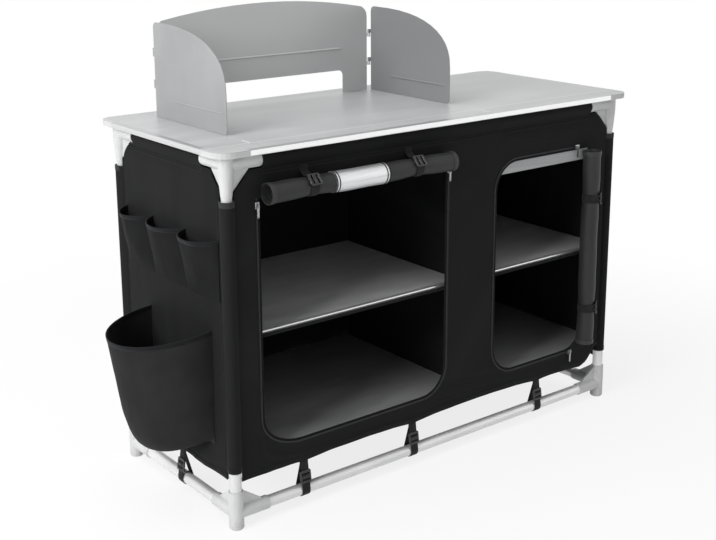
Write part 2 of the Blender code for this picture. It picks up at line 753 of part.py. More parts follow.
def back_panel():
    reach = math.sqrt(SLEEVE_RADIUS**2 - (PANEL_OFFSET - FABRIC / 2) ** 2)
    end = LEG_X - reach - GAP
    outline = panel_outline(end, LEG_X, skirt(-end, end, BACK_STRAPS_X))
    mesh = flat("back_panel", [outline], FABRIC)
    panel = node("back_panel", mesh, POLYESTER, at(0, PANEL_Y, 0, FACE_FRONT))
    rail = at(0, LEG_Y, UPPER_RAIL_HEIGHT, along((1, 0, 0)))
    join(panel, hem_pipe("back_hem", LEG_X, rail))
    sew_rail_straps(panel, "back", [(x, LEG_Y, 180) for x in BACK_STRAPS_X])


def side_panel(name, side):
    """A side panel with its hem and the two leg sleeves that it is sewn to."""
    end = LEG_Y - math.sqrt(SLEEVE_MIDDLE**2 - PANEL_OFFSET**2)
    outline = panel_outline(end, LEG_Y, skirt(-end, end, [SIDE_STRAP_Y]))
    mesh = flat(name, [outline], FABRIC)
    panel = node(name, mesh, POLYESTER, at(side * PANEL_X, 0, 0, FACE_SIDE))
    rail = at(side * LEG_X, 0, UPPER_RAIL_HEIGHT, along((0, 1, 0)))
    join(panel, hem_pipe(f"{name}_hem", LEG_Y, rail))
    sleeve = pipe(f"{name}_sleeve", SLEEVE_TOP - SLEEVE_BOTTOM, SLEEVE_RADIUS, SLEEVE_BORE)
    middle = (SLEEVE_TOP + SLEEVE_BOTTOM) / 2
    for end_name, y in (("front", -LEG_Y), ("back", LEG_Y)):
        join(panel, helper(f"{name}_sleeve_{end_name}", sleeve, at(side * LEG_X, y, middle)))
    sew_rail_straps(panel, name, [(side * LEG_X, SIDE_STRAP_Y, side * 90)])


def sleeve_cut(ahead, beside, radius):
    """A cut round a leg sleeve, from a sheet's front edge to its side, seen from the leg's axis."""
    start = 180 + math.degrees(math.asin(ahead / radius))
    return arc((0, 0), radius, start, math.degrees(math.acos(beside / radius)))


def notched(x0, x1, inset, front):
    """A level sheet between two walls, cut away round the leg sleeves that it meets."""
    r = SLEEVE_RADIUS + GAP + inset
    back = INNER_Y - inset

    def end(x):
        side = 1 if x > 0 else -1
        beside = abs(x) - LEG_X
        if beside < -r:
            return [(x, front), (x, back)]
        points = [(x, front)]
        if -LEG_Y - front > -r:
            cut_away = sleeve_cut(-LEG_Y - front, beside, r)
            points = [(side * (LEG_X + u), v - LEG_Y) for u, v in cut_away]
        behind = sleeve_cut(back - LEG_Y, beside, r)[::-1]
        return points + [(side * (LEG_X + u), LEG_Y - v) for u, v in behind]

    return [*end(x1), *end(x0)[::-1]]


def build_organiser():
    front_panel()
    back_panel()
    side_panel("left_panel", -1)
    side_panel("right_panel", 1)
    # The divider, the shelf sheet and the floor sheet are one sewn piece.
    bottom = FLOOR_HEIGHT + FABRIC / 2
    divider = node(
        "divider_and_shelves",
        block("divider_sheet", (FABRIC, 2 * INNER_Y - 0.001, DIVIDER_TOP - bottom)),
        POLYESTER,
        at(DIVIDER_X, 0, (DIVIDER_TOP + bottom) / 2),
    )
    for name, z in (("floor_sheet", FLOOR_HEIGHT), ("shelf_sheet", SHELF_HEIGHT)):
        mesh = flat(name, [notched(-INNER_X, INNER_X, 0, -INNER_Y)], FABRIC)
        join(divider, helper(name, mesh, at(z=z + FABRIC / 2)))
    wall = FABRIC / 2 + BOARD_INSET
    boards = {
        "left": (-INNER_X + BOARD_INSET, DIVIDER_X - wall),
        "right": (DIVIDER_X + wall, INNER_X - BOARD_INSET),
    }
    for side, span in boards.items():
        for level, z in (("floor", FLOOR_HEIGHT), ("shelf", SHELF_HEIGHT)):
            front = -INNER_Y + BOARD_INSET + (BOARD_SETBACK if level == "shelf" else 0)
            mesh = flat(f"{side}_{level}_plate", [notched(*span, BOARD_INSET, front)], BOARD_THICKNESS)
            z_middle = z + FABRIC + GAP + BOARD_THICKNESS / 2
            node(f"{side}_{level}_board", mesh, SHELF_GREY, at(z=z_middle))
    x0, x1 = RIGHT_DOOR_X
    vent_height = VENT_DROP + VENT_RISE
    node(
        "right_vent_strip",
        block("vent_sheet", (x1 - x0 + 0.02, FABRIC, vent_height)),
        VENT_GREY,
        at((x0 + x1) / 2, -INNER_Y + FABRIC / 2, RIGHT_DOOR_TOP - VENT_DROP + vent_height / 2),
    )


def roll_path():
    """A rolled door from its core out to the tail that is sewn flat on the panel at x = 0."""
    steps = int(ROLL_TURNS * ROLL_SIDES)
    outer = ROLL_RADIUS - FABRIC / 2
    path = []
    for i in range(steps + 1):
        left_to_go = (steps - i) / ROLL_SIDES * math.tau
        radius = ROLL_CORE + (outer - ROLL_CORE) * i / steps
        angle = math.pi + left_to_go
        path.append((ROLL_STANDOFF + radius * math.cos(angle), radius * math.sin(angle)))
    gaps = [
        math.dist(a, b)
        for i, a in enumerate(path)
        for b in path[i + ROLL_SIDES - 2 :]
    ]
    print(f"least gap between turns of a rolled door: {(min(gaps) - FABRIC) * 1000:.2f} mm")
    x = path[-1][0]
    return [*path, (x, ROLL_TAIL / 2), (x, ROLL_TAIL)]


def roll_strap_path():
    """Webbing from its sewn end on the panel over the front of the roll and round under it."""
    radius = ROLL_RADIUS + WEBBING / 2 - 0.0004
    step = 360 / ROLL_SIDES
    start, end = 5 * step, -7 * step
    steps = round((start - end) / step)
    x = GAP + WEBBING / 2
    top = ROLL_RADIUS * 1.75
    return [(x, top), (x, top - 0.012), *arc((ROLL_STANDOFF, 0), radius, start, end, steps)]


def buckle_mesh():
    """A ladder-lock buckle: a plate with two slots, its face up local Z."""
    width, length, thickness = BUCKLE
    slot_w, slot_l = BUCKLE_SLOT
    w, h, c = width / 2, length / 2, 0.003
    frame = [(-w + c, -h), (w - c, -h), (w, -h + c), (w, h - c), (w - c, h), (-w + c, h), (-w, h - c), (-w, -h + c)]
    slots = []
    for centre in (-length / 4, length / 4):
        s, t = slot_w / 2, slot_l / 2
        slots.append([(-s, centre - t), (-s, centre + t), (s, centre + t), (s, centre - t)])
    return flat("buckle", [frame, *slots], thickness)


def rolled_door(name, length, matrix, straps):
    """A door rolled up in front of its opening. Local X leaves the panel, Z runs along the roll."""
    roll = node(name, flat(name, [ribbon(roll_path(), FABRIC)], length), POLYESTER, matrix)
    strap = flat("roll_strap", [ribbon(roll_strap_path(), WEBBING)], WEBBING_WIDTH)
    buckle = buckle_mesh()
    tilt = math.radians(45)
    reach = ROLL_RADIUS + WEBBING + BUCKLE[2] / 2 - 0.0008
    for i, offset in enumerate(straps):
        join(roll, helper(f"{name}_strap_{i + 1}", strap, matrix @ at(z=offset)))
        seat = at(ROLL_STANDOFF + reach * math.cos(tilt), reach * math.sin(tilt), offset)
        out = Matrix.Rotation(tilt, 4, "Z") @ Matrix.Rotation(math.radians(90), 4, "Y")
        turn = Matrix.Rotation(math.radians(90), 4, "Z")
        join(roll, helper(f"{name}_buckle_{i + 1}", buckle, matrix @ seat @ out @ turn))


def build_doors():
    y = -FRONT_FACE
    x0, x1 = LEFT_DOOR_X[0] + ROLL_END_GAP, LEFT_DOOR_X[1] - ROLL_END_GAP
    middle = (x0 + x1) / 2
    straps = [middle - x for x in LEFT_ROLL_STRAPS_X]
    rolled_door("left_door_roll", x1 - x0, at(middle, y, LEFT_ROLL_Z, OUT_AND_UP), straps)
    z0, z1 = RIGHT_ROLL_Z
    middle = (z0 + z1) / 2
    # Local X to the front, local Y to the right, local Z up.
    side_roll = Matrix(((0, 1, 0, 0), (-1, 0, 0, 0), (0, 0, 1, 0), (0, 0, 0, 1)))
    straps = [z - middle for z in RIGHT_ROLL_STRAPS_Z]
    rolled_door("right_door_roll", z1 - z0, at(RIGHT_ROLL_X, y, middle, side_roll), straps)


def slider_mesh(sideways):
    """A zip slider that faces local Z, with the bridge that its pull hangs on."""
    back = GAP
    channel = ZIP_HEIGHT + GAP + 0.0002
    w, t = SLIDER_WIDTH / 2, ZIP_WIDTH / 2 + 0.0004
    section = [
        (-w, back),
        (-t, back),
        (-t, channel),
        (t, channel),
        (t, back),
        (w, back),
        (w, SLIDER_DEPTH - 0.001),
        (w - 0.0015, SLIDER_DEPTH),
        (-w + 0.0015, SLIDER_DEPTH),
        (-w, SLIDER_DEPTH - 0.001),
    ]
    mesh = flat("slider_body", [section], SLIDER_LENGTH)
    mesh.transform(FACE_FRONT)
    if sideways:
        mesh.transform(turn_z(90))
    h, r, wall = BRIDGE_SPAN / 2, BRIDGE_RISE, BRIDGE_WALL
    low, c = -wall / 3, wall / 2
    outer = [(h + wall, low), (h + wall, r + c), (h + c, r + wall)]
    inner = [(h - c, r), (h, r - c), (h, low)]
    arch = [*outer, *[(-y, z) for y, z in outer[::-1]], *[(-y, z) for y, z in inner[::-1]], *inner]
    bridge = flat("bridge", [arch], BRIDGE_WIDTH)
    body = helper("slider", mesh)
    join(body, helper("slider_bridge", bridge, at(z=SLIDER_DEPTH) @ FACE_SIDE))
    return baked(body)


def pull_mesh():
    """A pull tab that hangs to local -Y from its top bar, whose middle is the origin."""
    w, bar = PULL_WIDTH / 2, PULL_THICKNESS / 2
    eye_w, eye_l = PULL_EYE[0] / 2, PULL_EYE[1]
    end = w - PULL_LENGTH
    tab = [(w, bar), (-w, bar), (-w, -bar - eye_l - 0.002), (-w * 0.8, -bar - eye_l - 0.004)]
    tab += [*arc((0, end), w * 0.8, 180, 360), (w * 0.8, -bar - eye_l - 0.004), (w, -bar - eye_l - 0.002)]
    eye = [(-eye_w, -bar - eye_l), (eye_w, -bar - eye_l), (eye_w, -bar), (-eye_w, -bar)]
    hole = arc((0, end), w * 0.35, 0, 360, 8)[:-1]
    return flat("pull_tab", [tab, eye, hole], PULL_THICKNESS)


def slider_nodes(name, x, z, sideways):
    """A zip slider on the front panel, and its pull on an empty at their level hinge axis."""
    out = at(x, -FRONT_FACE, z, FACE_FRONT)
    slider = node(f"{name}_slider", slider_mesh(sideways), ZIP_STEEL, out)
    axis = bpy.data.objects.new(f"{name}_pull_axis", None)
    UNIT.objects.link(axis)
    place(axis, at(z=SLIDER_DEPTH + BRIDGE_RISE / 2), slider)
    node(f"{name}_pull", pull_mesh(), ZIP_STEEL, Matrix(), axis)


def build_sliders():
    x0, x1 = LEFT_DOOR_X
    z = LEFT_DOOR_TOP - SLIDER_LENGTH
    slider_nodes("left_door_left", x0 - ZIP_OFFSET, z, False)
    slider_nodes("left_door_right", x1 + ZIP_OFFSET, z, False)
    x = RIGHT_ROLL_X - ROLL_RADIUS - SLIDER_LENGTH
    slider_nodes("right_door_top", x, RIGHT_DOOR_TOP + ZIP_OFFSET, True)
    slider_nodes("right_door_bottom", x, DOOR_BOTTOM - ZIP_OFFSET, True)


def rail_strap_mesh(drop):
    """A loop of webbing round a lower rail, in a plane across it. Local X leaves the unit, Y is up."""
    inner = TUBE_RADIUS + STRAP_EASE
    outer = inner + WEBBING
    tab_x = PANEL_OFFSET
    fork = drop - 0.006
    start = math.degrees(math.asin(outer / math.hypot(tab_x, fork)))
    outer_loop = [
        *arc((0, 0), outer, 180 - start, 360 + start, 2 * ARC_STEPS),
        (tab_x, fork),
        (tab_x, drop + STRAP_TAB),
        (tab_x - 2 * WEBBING, drop + STRAP_TAB),
        (tab_x - 2 * WEBBING, fork),
    ]
    apex = (tab_x - WEBBING, fork - 2.5 * WEBBING)
    inner_loop = [*arc((0, 0), inner, 180 - start, 360 + start, 2 * ARC_STEPS), apex]
    return flat("rail_strap", [outer_loop, inner_loop[::-1]], WEBBING_WIDTH)


def sew_rail_strap(panel, name, matrix):
    """Sews a strap with its buckle behind a panel's lower edge, down round the rail below it."""
    drop = SKIRT_BOTTOM - SKIRT_DIP - RAIL_HEIGHT
    outer = TUBE_RADIUS + STRAP_EASE + WEBBING
    lean = math.atan2(outer - PANEL_OFFSET, drop)
    along_leg = drop * 0.42
    middle = (outer - along_leg * math.tan(lean) + BUCKLE[2] * 0.22, along_leg)
    turn = Matrix.Rotation(lean, 4, "Z") @ Matrix.Rotation(math.radians(90), 4, "Y") @ turn_z(90)
    join(
        panel,
        helper(name, rail_strap_mesh(drop), matrix),
        helper(f"{name}_buckle", buckle_mesh(), matrix @ at(*middle, 0, turn)),
    )


def sew_rail_straps(panel, name, places):
    """Straps at places given as x, y and the turn from the front face to the panel's own."""
    for i, (x, y, degrees) in enumerate(places):
        place_of = at(x, y, RAIL_HEIGHT, turn_z(degrees) @ OUT_AND_UP)
        sew_rail_strap(panel, f"{name}_strap_{i + 1}", place_of)


def draped(name, columns, rows, lay):
    """A cloth shell: a grid laid out by a rule from its column and row, thickened to both sides."""
    bm = bmesh.new()
    bmesh.ops.create_grid(bm, x_segments=columns, y_segments=rows, size=1)
    for vert in bm.verts:
        column = round((vert.co.x + 1) / 2 * columns)
        row = round((vert.co.y + 1) / 2 * rows)
        vert.co = lay(column, row)
    bmesh.ops.recalc_face_normals(bm, faces=bm.faces)
    mesh = bpy.data.meshes.new(name)
    bm.to_mesh(mesh)
    bm.free()
    shell = node(name, mesh, POLYESTER)
    solidify = shell.modifiers.new("Solidify", "SOLIDIFY")
    solidify.thickness = FABRIC
    solidify.offset = 0
    return shell


def cutlery_pocket(y0, y1):
    """The rule that lays out one cutlery pocket, which swells open towards its top."""

    def lay(column, row):
        share, rise = column / CUTLERY_COLUMNS, row / CUTLERY_ROWS
        swell = (0.5 - 0.5 * math.cos(math.tau * share)) ** 0.8 * rise**0.8
        z = CUTLERY_BOTTOM + (CUTLERY_TOP - CUTLERY_BOTTOM) * rise
        return (-POCKET_FACE - CUTLERY_DEPTH * swell, y0 + (y1 - y0) * share, z)

    return lay


def pocket_point(column, row):
    """A point of the half-round pocket: half an ellipse in plan, which draws in towards its seam."""
    share, rise = POCKET_SHARES[row]
    height = POCKET_SEAM + (POCKET_RIM - POCKET_SEAM) * rise
    angle = math.pi * column / POCKET_COLUMNS
    out = math.sin(angle)
    middle, half = sum(POCKET_Y) / 2, (POCKET_Y[0] - POCKET_Y[1]) / 2
    side_z = POCKET_RIM + (POCKET_SEAM - POCKET_RIM) * row / (len(POCKET_SHARES) - 1)
    z = side_z + (height - side_z) * out
    return (-POCKET_FACE - POCKET_DEPTH * share * out, middle + half * math.cos(angle), z)


def build_pockets():
    for name, y0, y1 in zip(("back", "middle", "front"), CUTLERY_Y, CUTLERY_Y[1:]):
        lay = cutlery_pocket(y0 - POCKET_EDGE, y1 + POCKET_EDGE)
        draped(f"cutlery_pocket_{name}", CUTLERY_COLUMNS, CUTLERY_ROWS, lay)
    draped("side_pocket", POCKET_COLUMNS, len(POCKET_SHARES) - 1, pocket_point)


def wing_outline():
    """A wing in its own plane: local X from the hinge to the front, local Y up."""
    start = KNUCKLE_RADIUS + 0.001
    length, top = WING_LENGTH, WING_HEIGHT
    c = SHEET_CORNER
    rise = top - WING_FRONT_HEIGHT
    points = [(start, 0), *arc((length - c, c), c, 270, 360)]
    steps = 2 * ARC_STEPS
    for i in range(steps + 1):
        angle = math.pi / 2 * i / steps
        x = start + c + (length - start - c) * math.cos(angle) ** (2 / WING_CURVE)
        points.append((x, WING_FRONT_HEIGHT + rise * math.sin(angle) ** (2 / WING_CURVE)))
    return [*points, *arc((start + c, top - c), c, 112, 180, 3)]


def bead(name, length, matrix, parent=CENTRE):
    """A pressed stiffening bead: a slim round-ended ridge along local Z."""
    half = length / 2
    r = BEAD_RADIUS
    profile = [(0, half), (r * 0.7, half - r * 1.5), (r, half - r * 4), (r, r * 4 - half), (r * 0.7, r * 1.5 - half), (0, -half)]
    return helper(name, turned(name, profile, 8), matrix, parent)


def knuckle(name, z, matrix, with_pin, parent=CENTRE):
    """A rolled knuckle, with a tangent tab that runs back into its sheet along local X."""
    r, h = KNUCKLE_RADIUS, KNUCKLE_HEIGHT / 2
    if with_pin:
        pin_top = 3 * h - 0.0005
        profile = [(0, pin_top), (PIN_RADIUS, pin_top), (PIN_RADIUS, h), (r, h), (r, -h), (0, -h)]
        barrel = turned(name, profile, PIN_SIDES)
    else:
        bore = PIN_RADIUS + PIN_EASE
        barrel = turned(name, [(r, h), (r, -h), (bore, -h), (bore, h)], PIN_SIDES, closed=True)
    tab = block(f"{name}_tab", (2.6 * r, 0.8 * SHEET, KNUCKLE_HEIGHT - 0.0004))
    return [
        helper(name, barrel, matrix @ at(z=z), parent),
        helper(f"{name}_tab", tab, matrix @ at(1.35 * r, r - SHEET / 2, z), parent),
    ]


def windbreak_back():
    """Back sheet: arched top, feet at both ends with a gap between for a hose, knuckles and pins."""
    x0 = WINDBREAK_LEFT + KNUCKLE_RADIUS + 0.001
    x1 = WINDBREAK_RIGHT - KNUCKLE_RADIUS - 0.001
    centre, half = (x0 + x1) / 2, (x1 - x0) / 2
    foot, gap, c = WINDBREAK_FOOT, HOSE_GAP_HEIGHT, SHEET_CORNER
    corner = BACK_CORNER_RADIUS
    notch = half - foot
    arch_half = half - corner * 0.7
    arch_rise = BACK_PEAK - WING_HEIGHT
    radius = (arch_half**2 + arch_rise**2) / (2 * arch_rise)
    swing = math.degrees(math.asin(arch_half / radius))
    arch = arc((0, BACK_PEAK - radius), radius, 90 - swing, 90 + swing, 2 * ARC_STEPS)
    side_top = WING_HEIGHT - corner
    outline = [
        (-half, 0),
        (-notch, 0),
        *arc((-notch + c, gap - c), c, 180, 90, 4),
        *arc((notch - c, gap - c), c, 90, 0, 4),
        (notch, 0),
        (half, 0),
        (half, side_top),
        *arc((half - corner, side_top), corner, 20, 60, 2),
        *arch,
        *arc((corner - half, side_top), corner, 120, 160, 2),
        (-half, side_top),
    ]
    y = BACK_SHEET_Y
    mesh = flat("windbreak_back", [outline], SHEET)
    sheet = node("windbreak_back", mesh, SHEET_GREY, at(centre, y, WINDBREAK_BASE, FACE_FRONT))
    wide, deep, thick = FOOT_PLATE
    peg = rod("peg", PEG_LENGTH + thick / 2, PEG_RADIUS, 12)
    for i, x in enumerate(PEGS_X):
        plate = at(x, y + deep / 2, WINDBREAK_BASE + 0.0002 + thick / 2)
        stem = at(x, PEG_Y, WINDBREAK_BASE + (thick / 2 - PEG_LENGTH) / 2)
        join(sheet, helper(f"foot_plate_{i + 1}", block("foot_plate", (wide, deep, thick)), plate))
        join(sheet, helper(f"foot_peg_{i + 1}", peg, stem))
    length = 2 * half - 2 * BEAD_INSET
    level = at(centre, y - SHEET / 2, WINDBREAK_BASE + BACK_BEAD_Z, along((1, 0, 0)))
    join(sheet, bead("back_bead", length, level))
    for side, x, turn in (("left", WINDBREAK_LEFT, Matrix()), ("right", WINDBREAK_RIGHT, Matrix.Scale(-1, 4, (1, 0, 0)))):
        for i, z in enumerate(KNUCKLES_Z):
            base = at(x, WINDBREAK_BACK_Y, WINDBREAK_BASE, turn)
            join(sheet, *knuckle(f"back_knuckle_{side}_{i + 1}", z, base, True))


def windbreak_wing(name, x, side):
    """A wing on its hinge axis. Its sheet lies outside the axis, so that it folds flat inwards."""
    axis = bpy.data.objects.new(f"{name}_axis", None)
    UNIT.objects.link(axis)
    place(axis, at(x, WINDBREAK_BACK_Y, WINDBREAK_BASE))
    r = KNUCKLE_RADIUS
    outward = side * (r - SHEET / 2)
    # Local X of the outline to the front.
    facing = turn_z(-90) @ FACE_FRONT
    wing = node(name, flat(name, [wing_outline()], SHEET), SHEET_GREY, at(outward, 0, 0, facing), axis)
    length = WING_LENGTH - BEAD_INSET - 0.014
    bead_y = -(WING_LENGTH - 0.014 - length / 2)
    inner_face = side * (r - SHEET)
    join(wing, bead(f"{name}_bead", length, at(inner_face, bead_y, WING_BEAD_Z, along((0, 1, 0))), axis))
    turn = turn_z(-90) if side > 0 else turn_z(-90) @ Matrix.Scale(-1, 4, (0, 1, 0))
    for i, z in enumerate(KNUCKLES_Z):
        upper = z + KNUCKLE_HEIGHT + GAP
        join(wing, *knuckle(f"{name}_knuckle_{i + 1}", upper, turn, False, axis))


def build_windbreak():
    windbreak_back()
    windbreak_wing("windbreak_left_wing", WINDBREAK_LEFT, -1)
    windbreak_wing("windbreak_right_wing", WINDBREAK_RIGHT, 1)


build_frame()
build_worktop()
build_organiser()
build_doors()
build_sliders()
build_pockets()
build_windbreak()
bpy.context.view_layer.update()
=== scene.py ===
# %% [markdown]
# # Camp kitchen unit
# A folding camp kitchen is three things in one: a frame of light tubes plugged together with
# plastic corners, a worktop with a sheet-metal windbreak, and a cupboard sewn from polyester
# that hangs in the frame. Metal, plastic and boards come from the fixed frame and only get
# their finishes here. Everything that is sewn is cut and laid out in this lesson, because cloth
# has to look cut, folded and pulled, and a stiff sheet does not.

import math

import bmesh
import bpy
from mathutils import Matrix, Vector, noise


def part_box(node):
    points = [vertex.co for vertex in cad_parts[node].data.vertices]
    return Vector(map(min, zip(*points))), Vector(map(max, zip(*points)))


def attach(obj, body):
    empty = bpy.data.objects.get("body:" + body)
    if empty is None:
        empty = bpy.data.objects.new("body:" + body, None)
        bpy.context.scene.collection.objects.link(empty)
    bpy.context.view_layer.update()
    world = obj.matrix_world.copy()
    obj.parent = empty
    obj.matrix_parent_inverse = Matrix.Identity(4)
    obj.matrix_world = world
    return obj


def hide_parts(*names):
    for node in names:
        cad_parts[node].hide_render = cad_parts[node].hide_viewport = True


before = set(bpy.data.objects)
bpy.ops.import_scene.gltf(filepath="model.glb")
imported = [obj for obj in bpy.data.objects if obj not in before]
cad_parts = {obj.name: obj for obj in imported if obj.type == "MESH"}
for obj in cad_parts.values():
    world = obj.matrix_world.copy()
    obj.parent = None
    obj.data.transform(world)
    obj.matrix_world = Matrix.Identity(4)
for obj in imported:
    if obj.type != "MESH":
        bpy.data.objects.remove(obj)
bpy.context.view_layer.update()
# The middle of the tube frame on the floor. The sizes below are measured from here.
CENTRE = Vector((0.066775, 0.008675, 0.0))

# %% [markdown]
# ## A bench for finishes
# Every finish is a small recipe of nodes: a base colour that drifts a little over the surface,
# a roughness that drifts with it, and a fine relief for the grain. The helpers below place a
# node and feed it numbers or other nodes, and a Finish joins such nodes to its shader, so that
# each recipe stays short enough to read.

# %% Recipe helpers
def step(tree, kind, inputs=(), output=0, **settings):
    """Adds a node and feeds its inputs with values or other nodes' outputs. Gives one output."""
    made = tree.nodes.new("ShaderNode" + kind)
    for key, value in settings.items():
        setattr(made, key, value)
    for socket, value in dict(inputs).items():
        if isinstance(value, bpy.types.NodeSocket):
            tree.links.new(value, made.inputs[socket])
        else:
            made.inputs[socket].default_value = value
    return made.outputs[output] if made.outputs else None


def ramp(tree, value, start=(0.0, 1.0), end=(0.0, 1.0), kind="LINEAR"):
    """Turns a value that goes over one span into one that goes over another."""
    spans = {"From Min": start[0], "From Max": start[1], "To Min": end[0], "To Max": end[1]}
    return step(tree, "MapRange", {"Value": value, **spans}, interpolation_type=kind)


def figure(tree, operation, a, b=0.0):
    return step(tree, "Math", {0: a, 1: b}, operation=operation)


class Finish:
    """A material in the making. Each method adds nodes, and some of them feed the shader."""

    def __init__(self, name, colour, roughness, metallic=0.0, cloth=False):
        self.material = bpy.data.materials.new(name)
        self.material.use_nodes = True
        self.tree = self.material.node_tree
        self.shader = self.tree.nodes["Principled BSDF"]
        self.where = "UV" if cloth else "Object"
        self.set({"Base Color": (*colour, 1), "Roughness": roughness, "Metallic": metallic})

    def set(self, values):
        for socket, value in values.items():
            self.shader.inputs[socket].default_value = value

    def place(self, stretch=(1, 1, 1)):
        """Where a point lies: in the unit, or for cloth on the flat pattern it was cut from."""
        where = step(self.tree, "TexCoord", output=self.where)
        return step(self.tree, "VectorMath", {0: where, 1: stretch}, operation="MULTIPLY")

    def along(self, axis):
        return step(self.tree, "SeparateXYZ", {"Vector": self.place()}, axis)

    def figure(self, operation, a, b=0.0):
        return figure(self.tree, operation, a, b)

    def wave(self, axis, pitch):
        return self.figure("SINE", self.figure("MULTIPLY", self.along(axis), math.tau / pitch))

    def clouds(self, scale, detail=3.0, stretch=(1, 1, 1), rough=0.55):
        sizes = {"Scale": scale, "Detail": detail, "Roughness": rough}
        return step(self.tree, "TexNoise", {"Vector": self.place(stretch), **sizes})

    def blend(self, share, under, over):
        """Lays one colour over another and makes the result the base colour."""
        mix = step(self.tree, "Mix", {0: share, 6: under, 7: (*over, 1)}, 2, data_type="RGBA")
        self.tree.links.new(mix, self.shader.inputs["Base Color"])

    def drift(self, amount, light, dark, span=(0.3, 0.7)):
        """The colour drifts from dark to light as the amount goes over the span."""
        self.blend(ramp(self.tree, amount, span, kind="SMOOTHSTEP"), (*dark, 1), light)

    def tint_over(self, mask, colour):
        """Lays a colour over what the shader has so far, where the mask is 1."""
        self.blend(mask, self.shader.inputs["Base Color"].links[0].from_socket, colour)

    def dull(self, amount, low, high):
        roughness = ramp(self.tree, amount, end=(low, high))
        self.tree.links.new(roughness, self.shader.inputs["Roughness"])

    def relief(self, height, depth, strength=1.0):
        """Adds a relief of that depth in metres over any the shader already has."""
        normal = self.shader.inputs["Normal"]
        below = {"Normal": normal.links[0].from_socket} if normal.is_linked else {}
        sizes = {"Height": height, "Distance": depth, "Strength": strength}
        self.tree.links.new(step(self.tree, "Bump", {**sizes, **below}), normal)


# %% [markdown]
# ## The studio
# A product like this is shown on white. The floor is a wide disc: near the unit it is a pale
# matt surface that takes soft shadows, and further out it fades to plain white, so no horizon
# shows from any side. Only the camera and reflections see it paler than it is, so it throws no
# more light. The world is white for them too, and a softer grey where it only lights things.

# %% Floor and world
FLOOR_RADIUS = 9.0
FLOOR_FADE = (0.8, 2.0)
FLOOR_PALE = 0.82
FLOOR_GREY = 0.93
AMBIENT = 0.32


def looking_rays(tree):
    """1 for rays that see the studio: from the camera, or by way of metal or glass."""
    seen = step(tree, "LightPath", output="Is Camera Ray")
    for ray in ("Is Glossy Ray", "Is Transmission Ray"):
        seen = figure(tree, "MAXIMUM", seen, step(tree, "LightPath", output=ray))
    return seen


def mesh_of(name, bm):
    mesh = bpy.data.meshes.new(name)
    bm.to_mesh(mesh)
    bm.free()
    return mesh


def add_object(name, data):
    made = bpy.data.objects.new(name, data)
    bpy.context.collection.objects.link(made)
    return made


def floor_finish():
    material = bpy.data.materials.new("pale_floor")
    material.use_nodes = True
    tree = material.node_tree
    tree.nodes.clear()
    place = step(tree, "TexCoord", output="Object")
    distance = step(tree, "VectorMath", {0: place}, "Value", operation="LENGTH")
    fade = ramp(tree, distance, FLOOR_FADE, (FLOOR_PALE, 1.0), "SMOOTHSTEP")
    white = figure(tree, "MULTIPLY", fade, looking_rays(tree))
    matt = step(tree, "BsdfDiffuse", {"Color": (FLOOR_GREY, FLOOR_GREY, FLOOR_GREY, 1)})
    mix = step(tree, "MixShader", {"Fac": white, 1: matt, 2: step(tree, "Emission")})
    step(tree, "OutputMaterial", {"Surface": mix})
    return material


bm = bmesh.new()
bmesh.ops.create_circle(bm, cap_ends=True, segments=96, radius=FLOOR_RADIUS)
floor = add_object("studio_floor", mesh_of("studio_floor", bm))
floor.data.materials.append(floor_finish())

world = bpy.data.worlds.new("white_studio")
world.use_nodes = True
background = world.node_tree.nodes["Background"]
background.inputs["Color"].default_value = (1, 1, 1, 1)
level = ramp(world.node_tree, looking_rays(world.node_tree), end=(AMBIENT, 1.0))
world.node_tree.links.new(level, background.inputs["Strength"])
bpy.context.scene.world = world
print("floor", FLOOR_RADIUS, "m in radius, world at", AMBIENT)

# %% [markdown]
# ## Light and camera
# Three large soft lamps do the work: a main one in front and to the left, a weaker one on the
# right so that the black cloth does not drown, and one overhead for the worktop. The camera
# stands in front and to the left, about half a metre above the worktop, and looks a little down.
# Its lens shift takes up a part of that tilt and keeps the uprights nearly upright.

# %% Lamps and camera
LAMPS = {
    "main_lamp": ((-3.9, -0.75, 2.3), 1.8, 126),
    "side_lamp": ((2.9, -2.6, 1.7), 2.4, 12),
    "top_lamp": ((-0.7, 0.4, 3.1), 2.6, 52),
}
LAMP_TARGET = Vector((0.0, 0.0, 0.45))
CAMERA_PLACE = (-1.653759, -2.121379, 1.24936)
CAMERA_YAW, CAMERA_PITCH, CAMERA_ROLL = 0.661589, 0.24361, -0.005023
FOCAL_PIXELS, IMAGE_WIDTH = 1205.354, 716
VERTICAL_SHIFT = -72 / 716

for name, (where, size, watts) in LAMPS.items():
    data = bpy.data.lights.new(name, "AREA")
    data.shape, data.size, data.energy = "SQUARE", size, watts
    lamp = add_object(name, data)
    lamp.location = where
    lamp.rotation_euler = (LAMP_TARGET - Vector(where)).to_track_quat("-Z", "Y").to_euler()

yaw = Matrix.Rotation(-CAMERA_YAW, 4, "Z")
pitch = Matrix.Rotation(math.pi / 2 - CAMERA_PITCH, 4, "X")
roll = Matrix.Rotation(CAMERA_ROLL, 4, "Z")
camera_data = bpy.data.cameras.new("photo_camera")
camera_data.sensor_width = 36
camera_data.lens = FOCAL_PIXELS / IMAGE_WIDTH * camera_data.sensor_width
camera_data.shift_y = VERTICAL_SHIFT
camera = add_object("photo_camera", camera_data)
camera.matrix_world = Matrix.Translation(CAMERA_PLACE) @ (yaw @ pitch) @ roll
bpy.context.scene.camera = camera
bpy.context.scene.view_settings.view_transform = "Standard"
print("lens", round(camera_data.lens, 2), "mm")

# %% [markdown]
# ## Tubes
# The legs and rails are thin aluminium tube, drawn and then satin anodised. Drawing leaves very
# fine lines along the tube, which is what stretches its highlight. The lines are noise squeezed
# across the tube and drawn out along it, so each direction of tube has its own copy.

